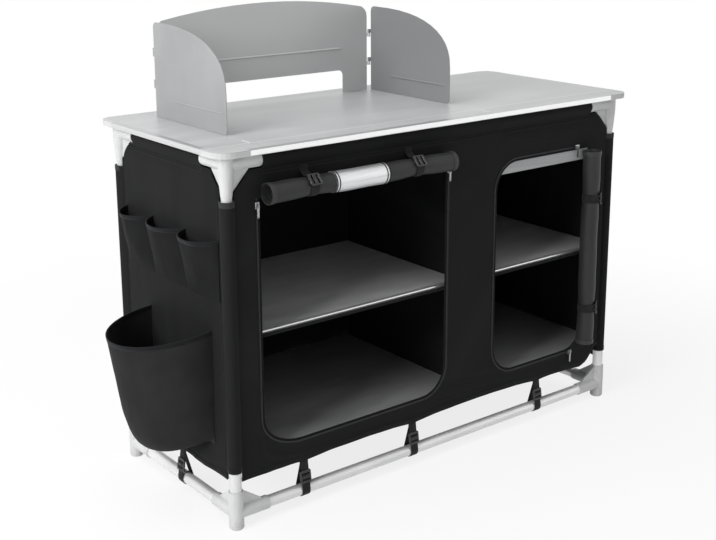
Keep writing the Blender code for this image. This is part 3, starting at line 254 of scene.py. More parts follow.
# %% Satin tube finish
def lines_along(axis, on, across):
    """How far to stretch a noise so that it runs in lines along an axis."""
    return [on if a == axis else across for a in "XYZ"]


def satin_tube(axis):
    f = Finish(f"satin_tube_{axis.lower()}", (0.78, 0.78, 0.78), 0.3, 0.4)
    drawn = f.clouds(2.0, 2.0, lines_along(axis, 1.0, 420.0))
    f.drift(f.clouds(7.0, 4.0), (0.80, 0.80, 0.80), (0.71, 0.711, 0.713))
    f.dull(drawn, 0.30, 0.46)
    f.relief(drawn, 0.00002, 0.6)
    f.relief(f.clouds(900.0, 1.0), 0.000004, 0.4)
    return f.material


TUBE_X, TUBE_Y, TUBE_Z = (satin_tube(axis) for axis in "XYZ")

# %% [markdown]
# ## Corner mouldings
# The corners are injection-moulded in light grey plastic. Such plastic is matt with a fine
# spark-eroded grain, a little darker where hands and grass have rubbed it, and grubby at the
# foot. The grain is a fine noise relief, and the dirt grows towards the floor.

# %% Moulded plastic finish
WORKTOP_FACE = 0.7890
DIRT_TOP = 0.03


def moulded_plastic(name, light, dark, dirty_below=0.0, shaded_top_above=0.0):
    f = Finish(name, light, 0.45)
    handled = f.clouds(16.0, 5.0)
    f.drift(handled, light, dark, (0.25, 0.6))
    f.dull(handled, 0.5, 0.38)
    f.relief(f.clouds(1500.0, 2.0), 0.00005, 0.5)
    f.relief(f.clouds(60.0, 2.0), 0.0003, 0.25)
    if dirty_below:
        low = ramp(f.tree, f.along("Z"), (dirty_below, 0.0), (0.0, 0.5))
        f.tint_over(f.figure("MULTIPLY", low, f.clouds(90.0, 4.0)), (0.30, 0.28, 0.25))
    # Above a given height the faces are painted darker: painted shade on the top.
    if shaded_top_above:
        f.tint_over(f.figure("GREATER_THAN", f.along("Z"), shaded_top_above), (0.44, 0.442, 0.446))
    return f.material


CORNER_GREY = moulded_plastic(
    "corner_grey_plastic", (0.62, 0.622, 0.625), (0.54, 0.542, 0.546), dirty_below=DIRT_TOP
)
TOP_CORNER_GREY = moulded_plastic(
    "top_corner_plastic", (0.57, 0.572, 0.576), (0.50, 0.502, 0.507), shaded_top_above=WORKTOP_FACE
)

# %% [markdown]
# ## Worktop
# The top is made of silver-grey laminated boards in an extruded aluminium rim. The rim's face is
# polished and brighter than the boards, and on the front and back rims it is painted brighter
# still: painted light. Its upper flange is painted a darker grey, like the boards: painted shade
# on the top. The rim carries lines along its length from the extrusion die. The boards have a
# fine brushed grain from left to right, faint wipe marks, and a narrow groove a hand's width
# inside the front rim, drawn paler than the board: a painted highlight.

# %% Rim and board finishes
GROOVE_Y, GROOVE_HALF = -0.182, 0.0014


def extruded_rim(name, axis, light):
    f = Finish(name, (light, light, light), 0.26, 0.7)
    die = f.clouds(1.6, 1.0, lines_along(axis, 0.3, 90.0))
    f.drift(die, (light, light, light), (light - 0.03, light - 0.028, light - 0.025))
    f.dull(f.clouds(11.0, 4.0), 0.24, 0.36)
    f.relief(f.clouds(5.0, 2.0), 0.0006, 0.25)
    # The upper flange, above the worktop's face, is painted darker than the rim's face: painted
    # shade on the top.
    f.tint_over(f.figure("GREATER_THAN", f.along("Z"), WORKTOP_FACE), (0.43, 0.433, 0.438))
    return f.material


def laminated_board():
    f = Finish("silver_laminate", (0.40, 0.405, 0.41), 0.4, 0.1)
    wiped = f.clouds(2.2, 5.0, (2.0, 7.0, 1.0))
    f.drift(wiped, (0.455, 0.458, 0.463), (0.39, 0.393, 0.399), (0.3, 0.72))
    f.dull(wiped, 0.30, 0.46)
    f.relief(f.clouds(1.4, 3.0, (3.0, 420.0, 420.0)), 0.00007, 0.7)
    away = f.figure("ABSOLUTE", f.figure("SUBTRACT", f.along("Y"), GROOVE_Y))
    groove_and_highlight = f.figure("LESS_THAN", away, GROOVE_HALF)
    # The line of the groove is painted paler than the board, a painted highlight; the relief below
    # sinks it.
    f.tint_over(f.figure("MULTIPLY", groove_and_highlight, 0.8), (0.66, 0.66, 0.665))
    f.relief(f.figure("SUBTRACT", 1.0, groove_and_highlight), 0.0005, 0.6)
    return f.material


# The front and back rims are painted far brighter than the side rims of the same extrusion: painted
# light.
RIM_X, RIM_Y = extruded_rim("extruded_rim_x_painted_light", "X", 0.96), extruded_rim("extruded_rim_y", "Y", 0.68)
SHELF_STRIP_METAL = extruded_rim("shelf_strip_metal", "X", 0.80)
BOARD_LAMINATE = laminated_board()

# %% [markdown]
# ## Windbreak, shelves and zip metal
# The windbreak is thin steel sheet with grey powder coat, whose surface has the faint orange
# peel of all powder coating. The wings' inner side is painted a shade darker, painted shade, and
# the back sheet's a shade paler, painted light, both in patches: a face is an inner one where it
# looks towards the hearth between the sheets. The shelf and floor boards are laminated like the
# worktop and duller; the shelf boards are painted paler, painted light, and the floor boards
# darker, painted shade. The zip's sliders and pulls are nickel plated: smooth at heart, with tiny
# scratches.

# %% Sheet, shelf and zip finishes
HEARTH = (-0.108, 0.05, 0.88)


def powder_coat(name, inside):
    f = Finish(name, (0.40, 0.405, 0.41), 0.42, 0.1)
    f.drift(f.clouds(5.0), (0.335, 0.337, 0.341), (0.29, 0.292, 0.296))
    facing = step(f.tree, "TexCoord", output="Normal")
    to_hearth = step(f.tree, "VectorMath", {0: HEARTH, 1: f.place()}, operation="SUBTRACT")
    inward = step(f.tree, "VectorMath", {0: facing, 1: to_hearth}, 1, operation="DOT_PRODUCT")
    patchy = ramp(f.tree, f.clouds(6.0, 4.0), end=(0.8, 1.0))
    # Inner faces take the inside colour in patches: painted shade on the wings, painted light on
    # the back sheet.
    f.tint_over(f.figure("MULTIPLY", f.figure("GREATER_THAN", inward), patchy), inside)
    f.dull(f.clouds(24.0), 0.36, 0.5)
    f.relief(f.clouds(420.0, 1.5), 0.00006, 0.6)
    f.set({"Coat Weight": 0.15, "Coat Roughness": 0.3})
    return f.material


def shelf_laminate(name, light, dark):
    f = Finish(name, light, 0.4)
    worn = f.clouds(4.0, 5.0, (1.5, 5.0, 1.0))
    f.drift(worn, light, dark)
    f.dull(worn, 0.3, 0.46)
    f.relief(f.clouds(700.0, 2.0), 0.00007, 0.6)
    return f.material


def nickel():
    f = Finish("nickel_plate", (0.62, 0.62, 0.63), 0.22, 1.0)
    scratches = f.clouds(1.0, 3.0, (300.0, 300.0, 2200.0))
    f.drift(f.clouds(300.0), (0.46, 0.46, 0.47), (0.24, 0.24, 0.26))
    f.dull(scratches, 0.2, 0.4)
    f.relief(scratches, 0.00003, 0.5)
    return f.material


# The wings are painted darker inside, painted shade; the back sheet paler inside, painted light.
WING_COAT_SHADED_INSIDE = powder_coat("powder_coat_painted_shade_inside", (0.20, 0.202, 0.206))
BACK_COAT_LIT_INSIDE = powder_coat("powder_coat_painted_light_inside", (0.56, 0.562, 0.566))
NICKEL = nickel()
# The shelf boards are painted paler than the worktop's boards, painted light, and the floor boards
# darker, painted shade.
SHELF_LAMINATE_LIT = shelf_laminate("shelf_laminate_painted_light", (0.64, 0.642, 0.646), (0.52, 0.522, 0.526))
FLOOR_LAMINATE_SHADED = shelf_laminate("floor_laminate_painted_shade", (0.33, 0.332, 0.336), (0.26, 0.262, 0.266))

# %% [markdown]
# ## Give the frame its finishes
# A piece of the frame keeps its shape and its place. Only its material slots are changed, by the
# piece's name: tubes by the way they run, trims by the way they run, and so on.

# %% Dress the rigid pieces
FRAME_FINISHES = [
    ("leg_", TUBE_Z),
    ("lower_rail_front lower_rail_back upper_rail_front upper_rail_back", TUBE_X),
    ("lower_rail_left lower_rail_right upper_rail_left upper_rail_right", TUBE_Y),
    ("lower_node_ upper_node_", CORNER_GREY),
    ("top_corner_", TOP_CORNER_GREY),
    ("trim_front trim_back", RIM_X),
    ("trim_left trim_right", RIM_Y),
    ("worktop_board_", BOARD_LAMINATE),
    ("windbreak_left_wing windbreak_right_wing", WING_COAT_SHADED_INSIDE),
    ("windbreak_back", BACK_COAT_LIT_INSIDE),
    ("left_shelf_board right_shelf_board", SHELF_LAMINATE_LIT),
    ("left_floor_board right_floor_board", FLOOR_LAMINATE_SHADED),
    ("left_door_left_ left_door_right_ right_door_top_ right_door_bottom_", NICKEL),
]
dressed = 0
for starts, material in FRAME_FINISHES:
    for name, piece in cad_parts.items():
        if name.startswith(tuple(starts.split())):
            piece.data.materials.clear()
            piece.data.materials.append(material)
            dressed += 1
print(dressed, "rigid pieces dressed")

# %% [markdown]
# ## Cutting cloth
# A sewer starts with a flat pattern, and so do we. The pattern's outline and holes are filled
# as a flat curve, scored along a grid, and every point keeps its flat place as its UV, so that a
# weave can later be drawn in real metres. Then a rule lays each point of the pattern in space:
# flat on the panel, round a tube, or out over a pocket. Last the sheet gets its thickness.

# %% Pattern and laying helpers
CLOTH_THICKNESS, CLOTH_CREASE = 0.0012, 50
ON_A_LINE = 1e-6


def filled_curve(name, loops, **settings):
    """Fills closed outlines in XY and gives the mesh."""
    curve = bpy.data.curves.new(name, "CURVE")
    for key, value in {"dimensions": "2D", "fill_mode": "BOTH", **settings}.items():
        setattr(curve, key, value)
    for loop in loops:
        spline = curve.splines.new("POLY")
        spline.points.add(len(loop) - 1)
        for point, (x, y) in zip(spline.points, loop):
            point.co = (x, y, 0, 1)
        spline.use_cyclic_u = True
    shape = bpy.data.objects.new(name, curve)
    mesh = bpy.data.meshes.new_from_object(shape)
    bpy.data.objects.remove(shape)
    bpy.data.curves.remove(curve)
    return mesh


def cut_pattern(outline, holes=(), columns=(), rows=()):
    """A flat pattern with straight score lines at the given columns and rows."""
    mesh = filled_curve("pattern", (outline, *holes))
    bm = bmesh.new()
    bm.from_mesh(mesh)
    bpy.data.meshes.remove(mesh)
    bmesh.ops.remove_doubles(bm, verts=bm.verts, dist=ON_A_LINE)
    bmesh.ops.dissolve_limit(bm, angle_limit=0.002, verts=bm.verts, edges=bm.edges)
    marks = [(0, m) for m in columns] + [(1, m) for m in rows]
    for axis, mark in marks:
        way = Vector((1 - axis, axis, 0))
        plane = {"plane_co": way * mark, "plane_no": way, "dist": ON_A_LINE}
        bmesh.ops.bisect_plane(bm, geom=[*bm.verts, *bm.edges, *bm.faces], **plane)

    def on_a_mark(edge):
        a, b = (v.co for v in edge.verts)
        return any(max(abs(a[i] - m), abs(b[i] - m)) < 2 * ON_A_LINE for i, m in marks)

    stray = [e for e in bm.edges if not e.is_boundary and not on_a_mark(e)]
    bmesh.ops.dissolve_edges(bm, edges=stray, use_verts=False)
    return bm


def cut_oblong(x0, x1, y0, y1, columns, rows):
    """A rectangular pattern."""
    return cut_pattern([(x0, y0), (x1, y0), (x1, y1), (x0, y1)], (), columns, rows)


def pattern_area(bm):
    return sum(face.calc_area() for face in bm.faces)


def marks_between(start, end, pitch):
    count = max(1, round((end - start) / pitch))
    return [start + (end - start) * i / count for i in range(1, count)]


def smooth(mesh, sharp):
    """Shades a mesh smooth, but for the edges sharper than an angle in degrees."""
    mesh.shade_smooth()
    mesh.set_sharp_from_angle(angle=math.radians(sharp))
    return mesh


def add_piece(name, mesh, material):
    """A finished piece: sizes are measured from the middle of the frame."""
    piece = add_object(name, mesh)
    piece.location = CENTRE
    mesh.materials.clear()
    mesh.materials.append(material)
    bpy.context.view_layer.update()
    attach(piece, "unit")
    return piece


def sewn(name, pattern, rule, material, thickness):
    """Lays a pattern out by a rule from its flat place, and gives it thickness."""
    flat = pattern.loops.layers.uv.new("flat")
    for face in pattern.faces:
        for loop in face.loops:
            loop[flat].uv = loop.vert.co.xy
    for vert in pattern.verts:
        vert.co = rule(vert.co.x, vert.co.y)
    piece = add_piece(name, mesh_of(name, pattern), material)
    solid = piece.modifiers.new("thickness", "SOLIDIFY")
    solid.thickness, solid.offset = thickness, 0.0
    bpy.context.view_layer.update()
    depsgraph = bpy.context.evaluated_depsgraph_get()
    mesh = bpy.data.meshes.new_from_object(piece.evaluated_get(depsgraph))
    piece.modifiers.clear()
    piece.data = smooth(mesh, CLOTH_CREASE)
    return piece


def add_sheet(
    name, node, pattern, rule, material, slot="black_polyester", thickness=CLOTH_THICKNESS, **laid
):
    """Sews a sheet, sets it in the place of a stiff node, and prints the size of its flat cut."""
    piece = sewn(name, pattern, rule, material, thickness)
    if node:
        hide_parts(node)
    print(name, "cut", [round(x, 3) for x in laid["flat"]], "faces", len(piece.data.polygons))
    return piece


def arc_points(centre, radius, start, end, steps=8):
    """Points on a circle from one angle to another, in degrees."""
    angles = [math.radians(start + (end - start) * i / steps) for i in range(steps + 1)]
    return [(centre[0] + radius * math.cos(a), centre[1] + radius * math.sin(a)) for a in angles]


def soft_step(x, start, end):
    t = min(1.0, max(0.0, (x - start) / (end - start)))
    return t * t * (3 - 2 * t)


def crumple(u, v, seed, size):
    """A smooth random height between about -1 and 1, the same on every run."""
    return noise.noise(Vector((u / size, v / size, seed)))


# %% [markdown]
# ## Polyester
# The cloth is black coated polyester in a plain weave: one thread over, one under, about two
# threads to the millimetre. Seen close it is a grid of tiny bumps, and seen from afar it has a
# dull sheen that lifts at a glancing angle. The weave here is the product of two sine waves over
# the flat pattern, so it follows the cloth round every bend. Slow clouds make it look handled.

# %% Cloth finishes
def woven(
    name, light, dark, pitch=0.0011, depth=0.00012, sheen=0.02, rough=(0.62, 0.85), shine=0.05
):
    f = Finish(name, light, sum(rough) / 2, cloth=True)
    handled = f.clouds(9.0, 5.0, rough=0.6)
    f.drift(handled, light, dark, (0.28, 0.72))
    f.dull(handled, *rough)
    f.relief(f.figure("MULTIPLY", f.wave("X", pitch), f.wave("Y", pitch)), depth, 0.5)
    f.relief(f.clouds(1.0, 2.0, (60, 900, 1)), 0.00025, 0.35)
    f.relief(f.clouds(38.0, 4.0), 0.0016, 0.3)
    f.set({"Specular IOR Level": shine, "Sheen Weight": sheen})
    f.set({"Sheen Roughness": 0.5, "Sheen Tint": (0.85, 0.87, 0.9, 1)})
    return f.material


SMOOTHER = {"rough": (0.45, 0.6), "shine": 0.3}
POLYESTER = woven("black_polyester", (0.0175, 0.0177, 0.0183), (0.0110, 0.0112, 0.0118))
POCKET_CLOTH = woven("pocket_polyester", (0.027, 0.0272, 0.0278), (0.0185, 0.0187, 0.0193))
CUTLERY_CLOTH = woven("cutlery_pocket_polyester", (0.015, 0.0152, 0.0158), (0.0098, 0.01, 0.0106))
ROLL_CLOTH = woven(
    "rolled_door_polyester", (0.027, 0.0273, 0.028), (0.018, 0.0183, 0.019), **SMOOTHER
)
LINING = woven("grey_lining", (0.47, 0.475, 0.48), (0.40, 0.405, 0.41), 0.0008, 0.00008, 0.1)

# %% [markdown]
# ## The four panels
# Each wall of the cupboard is one sheet. Its upper hem is folded over a rail and sewn down, and
# the end panels also wrap round the legs, so the tubes show as soft ridges. We cut one flat
# pattern for each wall and let a rule bend its margins round the tubes: straight from the seam
# to the tube, round it, and back. A skirt hangs below the floor, pulled down where straps hold
# it, and the top corners are cut away on a slant round the plastic corners.

# %% Panel sizes and the bend round a tube
LEG_X, LEG_Y = 0.5475, 0.215
PANEL_OFFSET = 0.006
RAIL_Z, LOWER_RAIL_Z = 0.7622, 0.035
WRAP_RADIUS, SEAM_DROP = 0.01375, 0.0202
HEM_SEAM = RAIL_Z - SEAM_DROP
SLEEVE_BOTTOM, SLEEVE_TOP = 0.126, 0.6887
SLEEVE_SEAM = LEG_Y - SEAM_DROP
SKIRT_LOW, SKIRT_SLACK = 0.103, 0.026
FRONT_END = 0.5352
FRONT_STRAPS = (-0.381, -0.081, 0.317)
BACK_STRAPS = (-0.300, 0.300)
SIDE_STRAP_Y = -0.012
LEFT_DOOR, RIGHT_DOOR = (-0.478, 0.010, 0.157, 0.686), (0.166, 0.470, 0.157, 0.664)
DOOR_RADIUS = 0.065
WIDE_CORNER = {LEFT_DOOR: 0.095}

seam_point = Vector((PANEL_OFFSET, -SEAM_DROP))
WRAP_REACH = math.sqrt(seam_point.length_squared - WRAP_RADIUS**2)
WRAP_HALF = math.asin(WRAP_RADIUS / seam_point.length)
WRAP_START = math.atan2(-seam_point.y, -seam_point.x) - WRAP_HALF
WRAP_TURN = math.pi + 2 * WRAP_HALF
WRAP_LENGTH = 2 * WRAP_REACH + WRAP_TURN * WRAP_RADIUS


def round_tube(s):
    """Out from the tube's axis and along the panel, a length s of cloth after the seam."""
    if s <= WRAP_REACH:
        return seam_point + s * Vector((math.cos(WRAP_START), math.sin(WRAP_START)))
    turned = (s - WRAP_REACH) / WRAP_RADIUS
    angle = WRAP_START - math.pi / 2 + min(turned, WRAP_TURN)
    at = WRAP_RADIUS * Vector((math.cos(angle), math.sin(angle)))
    rest = max(0.0, turned - WRAP_TURN) * WRAP_RADIUS / WRAP_REACH
    return at.lerp(seam_point - Vector((0.0013, 0)), min(1.0, rest))


WRAP_MARKS = [WRAP_REACH * 0.5] + [WRAP_REACH + WRAP_TURN * WRAP_RADIUS * i / 18 for i in range(19)]
print("cloth in a sleeve:", round(WRAP_LENGTH * 1000, 1), "mm")

# %% Patterns of the panels
HEM_TOP = HEM_SEAM + WRAP_LENGTH
HEM_END, ARM_BOTTOM = 0.077, 0.7457
FLAP, NOTCH = SLEEVE_SEAM + WRAP_LENGTH, SLEEVE_SEAM + 0.004
STEP_AT, STEP_UP = FRONT_END - 0.070, SKIRT_LOW + 0.040


def skirt_line(start, end, pulls, steps=10):
    marks = [start, *pulls, end]
    points = []
    for a, b in zip(marks, marks[1:]):
        for i in range(steps):
            t = i / steps
            points.append((a + (b - a) * t, SKIRT_LOW + 4 * SKIRT_SLACK * (b - a) * t * (1 - t)))
    return [*points, (end, SKIRT_LOW)]


def low_left_corner(door, outside, steps):
    """A door's lower left corner, which may be wider than high, or a line just outside it."""
    x0, _, z0, _ = door
    wide, high = WIDE_CORNER.get(door, DOOR_RADIUS) + outside, DOOR_RADIUS + outside
    turn = arc_points((1, 1), 1, 180, 270, steps)
    return [(x0 - outside + wide * a, z0 - outside + high * b) for a, b in turn]


def door_loop(door, round_top):
    x0, x1, z0, z1 = door
    r = DOOR_RADIUS
    lower = low_left_corner(door, 0, 14) + arc_points((x1 - r, z0 + r), r, 270, 360, 12)
    upper = arc_points((x0 + r, z1 - r), r, 90, 180, 12) if round_top else [(x0, z1)]
    return [*lower, (x1, z1), *upper]


def margins(right, half_span):
    """A right-hand margin, then up past the corner's arm to the hem's edge, and its mirror."""
    hem = half_span - HEM_END
    right = [*right, (half_span - 0.0490, ARM_BOTTOM - 0.001), (hem, ARM_BOTTOM), (hem, HEM_TOP)]
    return right + [(-u, v) for u, v in right[::-1]]


FRONT_SKIRT = skirt_line(-FRONT_END, STEP_AT, FRONT_STRAPS) + [
    (STEP_AT + 0.0245, 0.110), (FRONT_END - 0.022, STEP_UP - 0.012),
    (FRONT_END - 0.016, STEP_UP), (FRONT_END, STEP_UP),
]
BACK_SKIRT = skirt_line(-FRONT_END, FRONT_END, BACK_STRAPS)
END_SKIRT = skirt_line(-SLEEVE_SEAM, SLEEVE_SEAM, [SIDE_STRAP_Y])
LEG_FLAP = [(SLEEVE_SEAM, SLEEVE_BOTTOM), (FLAP, SLEEVE_BOTTOM), (FLAP, SLEEVE_TOP)]
LEG_FLAP += [(NOTCH, SLEEVE_TOP), (NOTCH, 0.7070)]
LONG_MARGINS = margins([(FRONT_END, 0.7040)], LEG_X)
END_OUTLINE = END_SKIRT + margins(LEG_FLAP, LEG_Y)
DOORS = [door_loop(LEFT_DOOR, False), door_loop(RIGHT_DOOR, True)]

# %% [markdown]
# ## Slack in the cloth
# Cloth that is strapped down is taut near its seams and slightly loose between them. The slack
# is a gentle outward swell with upright folds, strongest between the straps and far from doors,
# seams and tubes. It only goes outwards, because shelves and boards lie right behind the cloth.

# %% How far the cloth swells out
def door_distance(x, z):
    gaps = []
    for x0, x1, z0, z1 in (LEFT_DOOR, RIGHT_DOOR):
        gaps.append(math.hypot(max(x0 - x, x - x1, 0), max(z0 - z, z - z1, 0)))
    return min(gaps)


def pulled_folds(u, z, pulls, end):
    """Folds in the skirt that run down to each strap and fade upwards."""
    low = soft_step(0.175 - z, 0.0, 0.07)
    marks = [-end, *pulls, end]
    for a, b in zip(marks, marks[1:]):
        if a <= u <= b:
            t = (u - a) / (b - a)
            wave = 1 + 0.12 * math.sin(7 * math.pi * t)
            return low * 0.0042 * math.sin(math.pi * t) ** 2 * wave
    return 0.0


def fold(u, v, seed, size):
    return 0.5 + 0.5 * crumple(u, v, seed, size)


def front_swell(x, z):
    free = soft_step(door_distance(x, z), 0.016, 0.05) * soft_step(FRONT_END - abs(x), 0.0, 0.03)
    free *= soft_step(HEM_SEAM - z, 0.0, 0.02)
    skirt = pulled_folds(x, z, FRONT_STRAPS, FRONT_END)
    return free * (0.0028 * fold(x, z * 0.3, 4.0, 0.045) + skirt)


def back_swell(x, z):
    free = soft_step(FRONT_END - abs(x), 0.0, 0.05) * soft_step(HEM_SEAM - z, 0.0, 0.04)
    slow, fine = fold(x + 0.25 * z, z * 0.35, 9.0, 0.075), fold(x, z * 0.5, 2.0, 0.03)
    return free * (0.0075 * slow + 0.0016 * fine + pulled_folds(x, z, BACK_STRAPS, FRONT_END))


def end_swell(y, z, seed):
    free = soft_step(SLEEVE_SEAM - abs(y), 0.0, 0.05) * soft_step(HEM_SEAM - z, 0.0, 0.03)
    skirt = pulled_folds(y, z, [SIDE_STRAP_Y], SLEEVE_SEAM)
    return free * (0.0045 * fold(y, z * 0.28, seed, 0.045) + skirt)


def left_swell(y, z):
    return end_swell(y, z, 6.0)


# %% Lay out the panels
# Each side takes a place along its panel, a distance out from the tubes and a height.
SIDES = {
    "front": lambda u, out, z: Vector((u, -LEG_Y - out, z)),
    "back": lambda u, out, z: Vector((-u, LEG_Y + out, z)),
    "left": lambda u, out, z: Vector((-LEG_X - out, -u, z)),
    "right": lambda u, out, z: Vector((LEG_X + out, u, z)),
}
SWELLS = {
    "front": front_swell,
    "back": back_swell,
    "left": lambda u, z: left_swell(-u, z),
    "right": lambda u, z: end_swell(u, z, 13.0),
}


def on_panel(panel, u, z, out=0.0):
    """A point on a panel's slack surface, or a little out from it."""
    return SIDES[panel](u, PANEL_OFFSET + SWELLS[panel](u, z) + out, z)


def seam_dip(distance):
    """How far the thread pulls the cloth in at that distance from a seam."""
    return 0.0024 * math.exp(-((distance / 0.0045) ** 2))


def dipped_wrap(s):
    out, along = round_tube(s)
    return out - seam_dip(s) - seam_dip(WRAP_LENGTH - s), along


def panel_point(panel, u, s):
    sleeves = panel in ("left", "right")
    if s > HEM_SEAM:
        out, up = dipped_wrap(s - HEM_SEAM)
        return SIDES[panel](u, out, RAIL_Z + up)
    if sleeves and abs(u) > SLEEVE_SEAM:
        out, on = dipped_wrap(abs(u) - SLEEVE_SEAM)
        return SIDES[panel](math.copysign(LEG_Y + on, u), out, s)
    pulled = seam_dip(HEM_SEAM - s)
    if sleeves:
        pulled = max(pulled, seam_dip(SLEEVE_SEAM - abs(u)))
    return on_panel(panel, u, s, -pulled)


NEAR_SEAM = [-0.0095, -0.0065, -0.004, -0.002, 0.0, 0.002, 0.004, 0.0065]
SEAM_MARKS = [*NEAR_SEAM, WRAP_LENGTH - 0.004, WRAP_LENGTH - 0.002, *WRAP_MARKS]
ROWS = marks_between(0.100, HEM_SEAM, 0.012) + [HEM_SEAM + m for m in SEAM_MARKS]
LONG_COLUMNS = marks_between(-FRONT_END, FRONT_END, 0.012)
SLEEVE_MARKS = [SLEEVE_SEAM + m for m in SEAM_MARKS]
END_COLUMNS = marks_between(-SLEEVE_SEAM, SLEEVE_SEAM, 0.012)
END_COLUMNS += SLEEVE_MARKS + [-m for m in SLEEVE_MARKS]
CUTS = {
    "front": (FRONT_SKIRT + LONG_MARGINS, DOORS, LONG_COLUMNS),
    "back": (BACK_SKIRT + LONG_MARGINS, [], LONG_COLUMNS),
    "left": (END_OUTLINE, [], END_COLUMNS),
    "right": (END_OUTLINE, [], END_COLUMNS),
}
RAILS = [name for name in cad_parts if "_rail_" in name]
panels = {}
for panel, (outline, holes, columns) in CUTS.items():
    pattern = cut_pattern(outline, holes, columns, ROWS)
    us, vs = zip(*outline)
    panels[panel] = add_sheet(
        f"{panel}_panel_cloth", f"{panel}_panel", pattern,
        lambda u, s: panel_point(panel, u, s), POLYESTER, held="stretched", rests_on=RAILS,
        flat=(max(us) - min(us), max(vs) - min(vs)), area=pattern_area(pattern),
    )

# %% [markdown]
# ## Shelves and divider
# Inside, one sewn piece makes the divider, the shelf and the floor. Boards are slid in on top to
# stiffen them, so the shelf and floor cloths are flat under the boards and only their edges show.
# A light strip of lining shows behind the top of the right-hand opening.

# %% Divider, shelf and floor cloths
DIVIDER_X, DIVIDER_FOOT, DIVIDER_TOP = 0.076, 0.1475, 0.735
INNER_X, INNER_Y = 0.5521, 0.2196
SHEETS_Z = {"floor": 0.14675, "shelf": 0.39875}
SLEEVE_CLEAR = 0.0153
STRIP_BACK = -0.2192


def level_outline():
    """A shelf's cloth, cut round the four leg sleeves."""
    start = 180 + math.degrees(math.asin((INNER_Y - LEG_Y) / SLEEVE_CLEAR))
    end = math.degrees(math.acos((INNER_X - LEG_X) / SLEEVE_CLEAR))
    corner = arc_points((0, 0), SLEEVE_CLEAR, start, end, 10)
    outline = []
    for x, y, turn in ((1, -1, 1), (1, 1, -1), (-1, 1, 1), (-1, -1, -1)):
        outline += [(x * (LEG_X + a), y * (LEG_Y - b)) for a, b in corner[::turn]]
    return outline


def divider_rule(u, v):
    return Vector((DIVIDER_X + 0.0006 * crumple(u, v, 5.0, 0.12), u, v))


def strip_rule(u, v):
    sag = 0.001 * soft_step(0.65 - v, 0, 0.01)
    return Vector((u, STRIP_BACK + 0.0004 * crumple(u, v, 8.0, 0.02), v - sag))


stretched = {"held": "stretched", "rests_on": [panels["front"]]}
hung = {"held": "hung", "rests_on": [panels["front"]]}
for name, z in SHEETS_Z.items():
    columns, rows = marks_between(-INNER_X, INNER_X, 0.03), marks_between(-INNER_Y, INNER_Y, 0.03)
    pattern = cut_pattern(level_outline(), (), columns, rows)
    add_sheet(
        f"{name}_cloth", "divider_and_shelves", pattern, lambda u, v: Vector((u, v, z)), POLYESTER,
        flat=(2 * INNER_X, 2 * INNER_Y), area=pattern_area(pattern), **stretched,
    )
columns, rows = marks_between(-INNER_Y, INNER_Y, 0.02), marks_between(0.15, DIVIDER_TOP, 0.02)
pattern = cut_oblong(-INNER_Y, INNER_Y, DIVIDER_FOOT, DIVIDER_TOP, columns, rows)
flat = (2 * INNER_Y, DIVIDER_TOP - DIVIDER_FOOT)
add_sheet(
    "divider_cloth", "divider_and_shelves", pattern, divider_rule, POLYESTER, flat=flat, **stretched
)
x0, x1, z0, z1 = RIGHT_DOOR[0] - 0.01, RIGHT_DOOR[1] + 0.01, 0.638, 0.694
pattern = cut_oblong(x0, x1, z0, z1, marks_between(x0, x1, 0.01), [0.652, 0.666, 0.68])
add_sheet(
    "right_lining_strip", "right_vent_strip", pattern, strip_rule, LINING,
    flat=(x1 - x0, z1 - z0), slot="vent_grey", thickness=0.0009, **hung,
)

# %% [markdown]
# ## Rolled doors
# Each door is rolled up and tied beside its opening. A real roll is a spiral, so the door's own
# pattern is wound up: the length of cloth from the core gives the angle and the radius. Its
# straps pinch it, it swells between them, and its layers do not end quite in line.

# %% Wind the doors up
ROLL_CORE, ROLL_OUTER, ROLL_TAIL = 0.0042, 0.0214, 0.012
ROLL_TURNS = 6.0
ROLL_STANDOFF, ROLL_PINCH = 0.0228, 0.93
FACE = 0.2216
# Each roll: its ends, where its axis lies, its straps, and the seeds of its crumples.
ROLLS = {
    "left": ((-0.474, 0.006), 0.700, (-0.372, -0.100), (1.0, 3.0)),
    "right": ((0.175, 0.660), 0.462, (0.545, 0.267), (11.0, 5.0)),
}
SPIRAL_GROWTH = (ROLL_OUTER - ROLL_CORE) / (ROLL_TURNS * math.tau)


def cloth_to(turn):
    """The length of cloth wound up to an angle of the spiral."""
    return ROLL_CORE * turn + SPIRAL_GROWTH * turn**2 / 2


SPIRAL_LENGTH = cloth_to(ROLL_TURNS * math.tau)
DOOR_CLOTH = SPIRAL_LENGTH + ROLL_TAIL


def roll_point(side, at, s):
    """Out from the panel, and off the roll's axis, where the cloth is a length s from its core."""
    if s >= SPIRAL_LENGTH:
        return ROLL_STANDOFF - ROLL_OUTER, s - SPIRAL_LENGTH
    _, _, straps, (seed, _) = ROLLS[side]
    pinch = min(abs(at - x) for x in straps)
    full = ROLL_PINCH + 0.085 * soft_step(pinch, 0.006, 0.05)
    full += 0.02 * crumple(at, s * 0.15, seed, 0.07)
    turn = (-ROLL_CORE + math.sqrt(ROLL_CORE**2 + 2 * SPIRAL_GROWTH * s)) / SPIRAL_GROWTH
    angle = math.pi + ROLL_TURNS * math.tau - turn
    sewn_down = soft_step(SPIRAL_LENGTH - s, 0.0, 0.02)
    radius = (ROLL_CORE + SPIRAL_GROWTH * turn) * (1 + (full - 1) * sewn_down)
    radius *= 1 + 0.035 * sewn_down * crumple(at * 0.6, angle * 0.02, seed + 3, 0.03)
    sag = -0.0016 * soft_step(pinch, 0.01, 0.1) * sewn_down
    return ROLL_STANDOFF + radius * math.cos(angle), radius * math.sin(angle) + sag


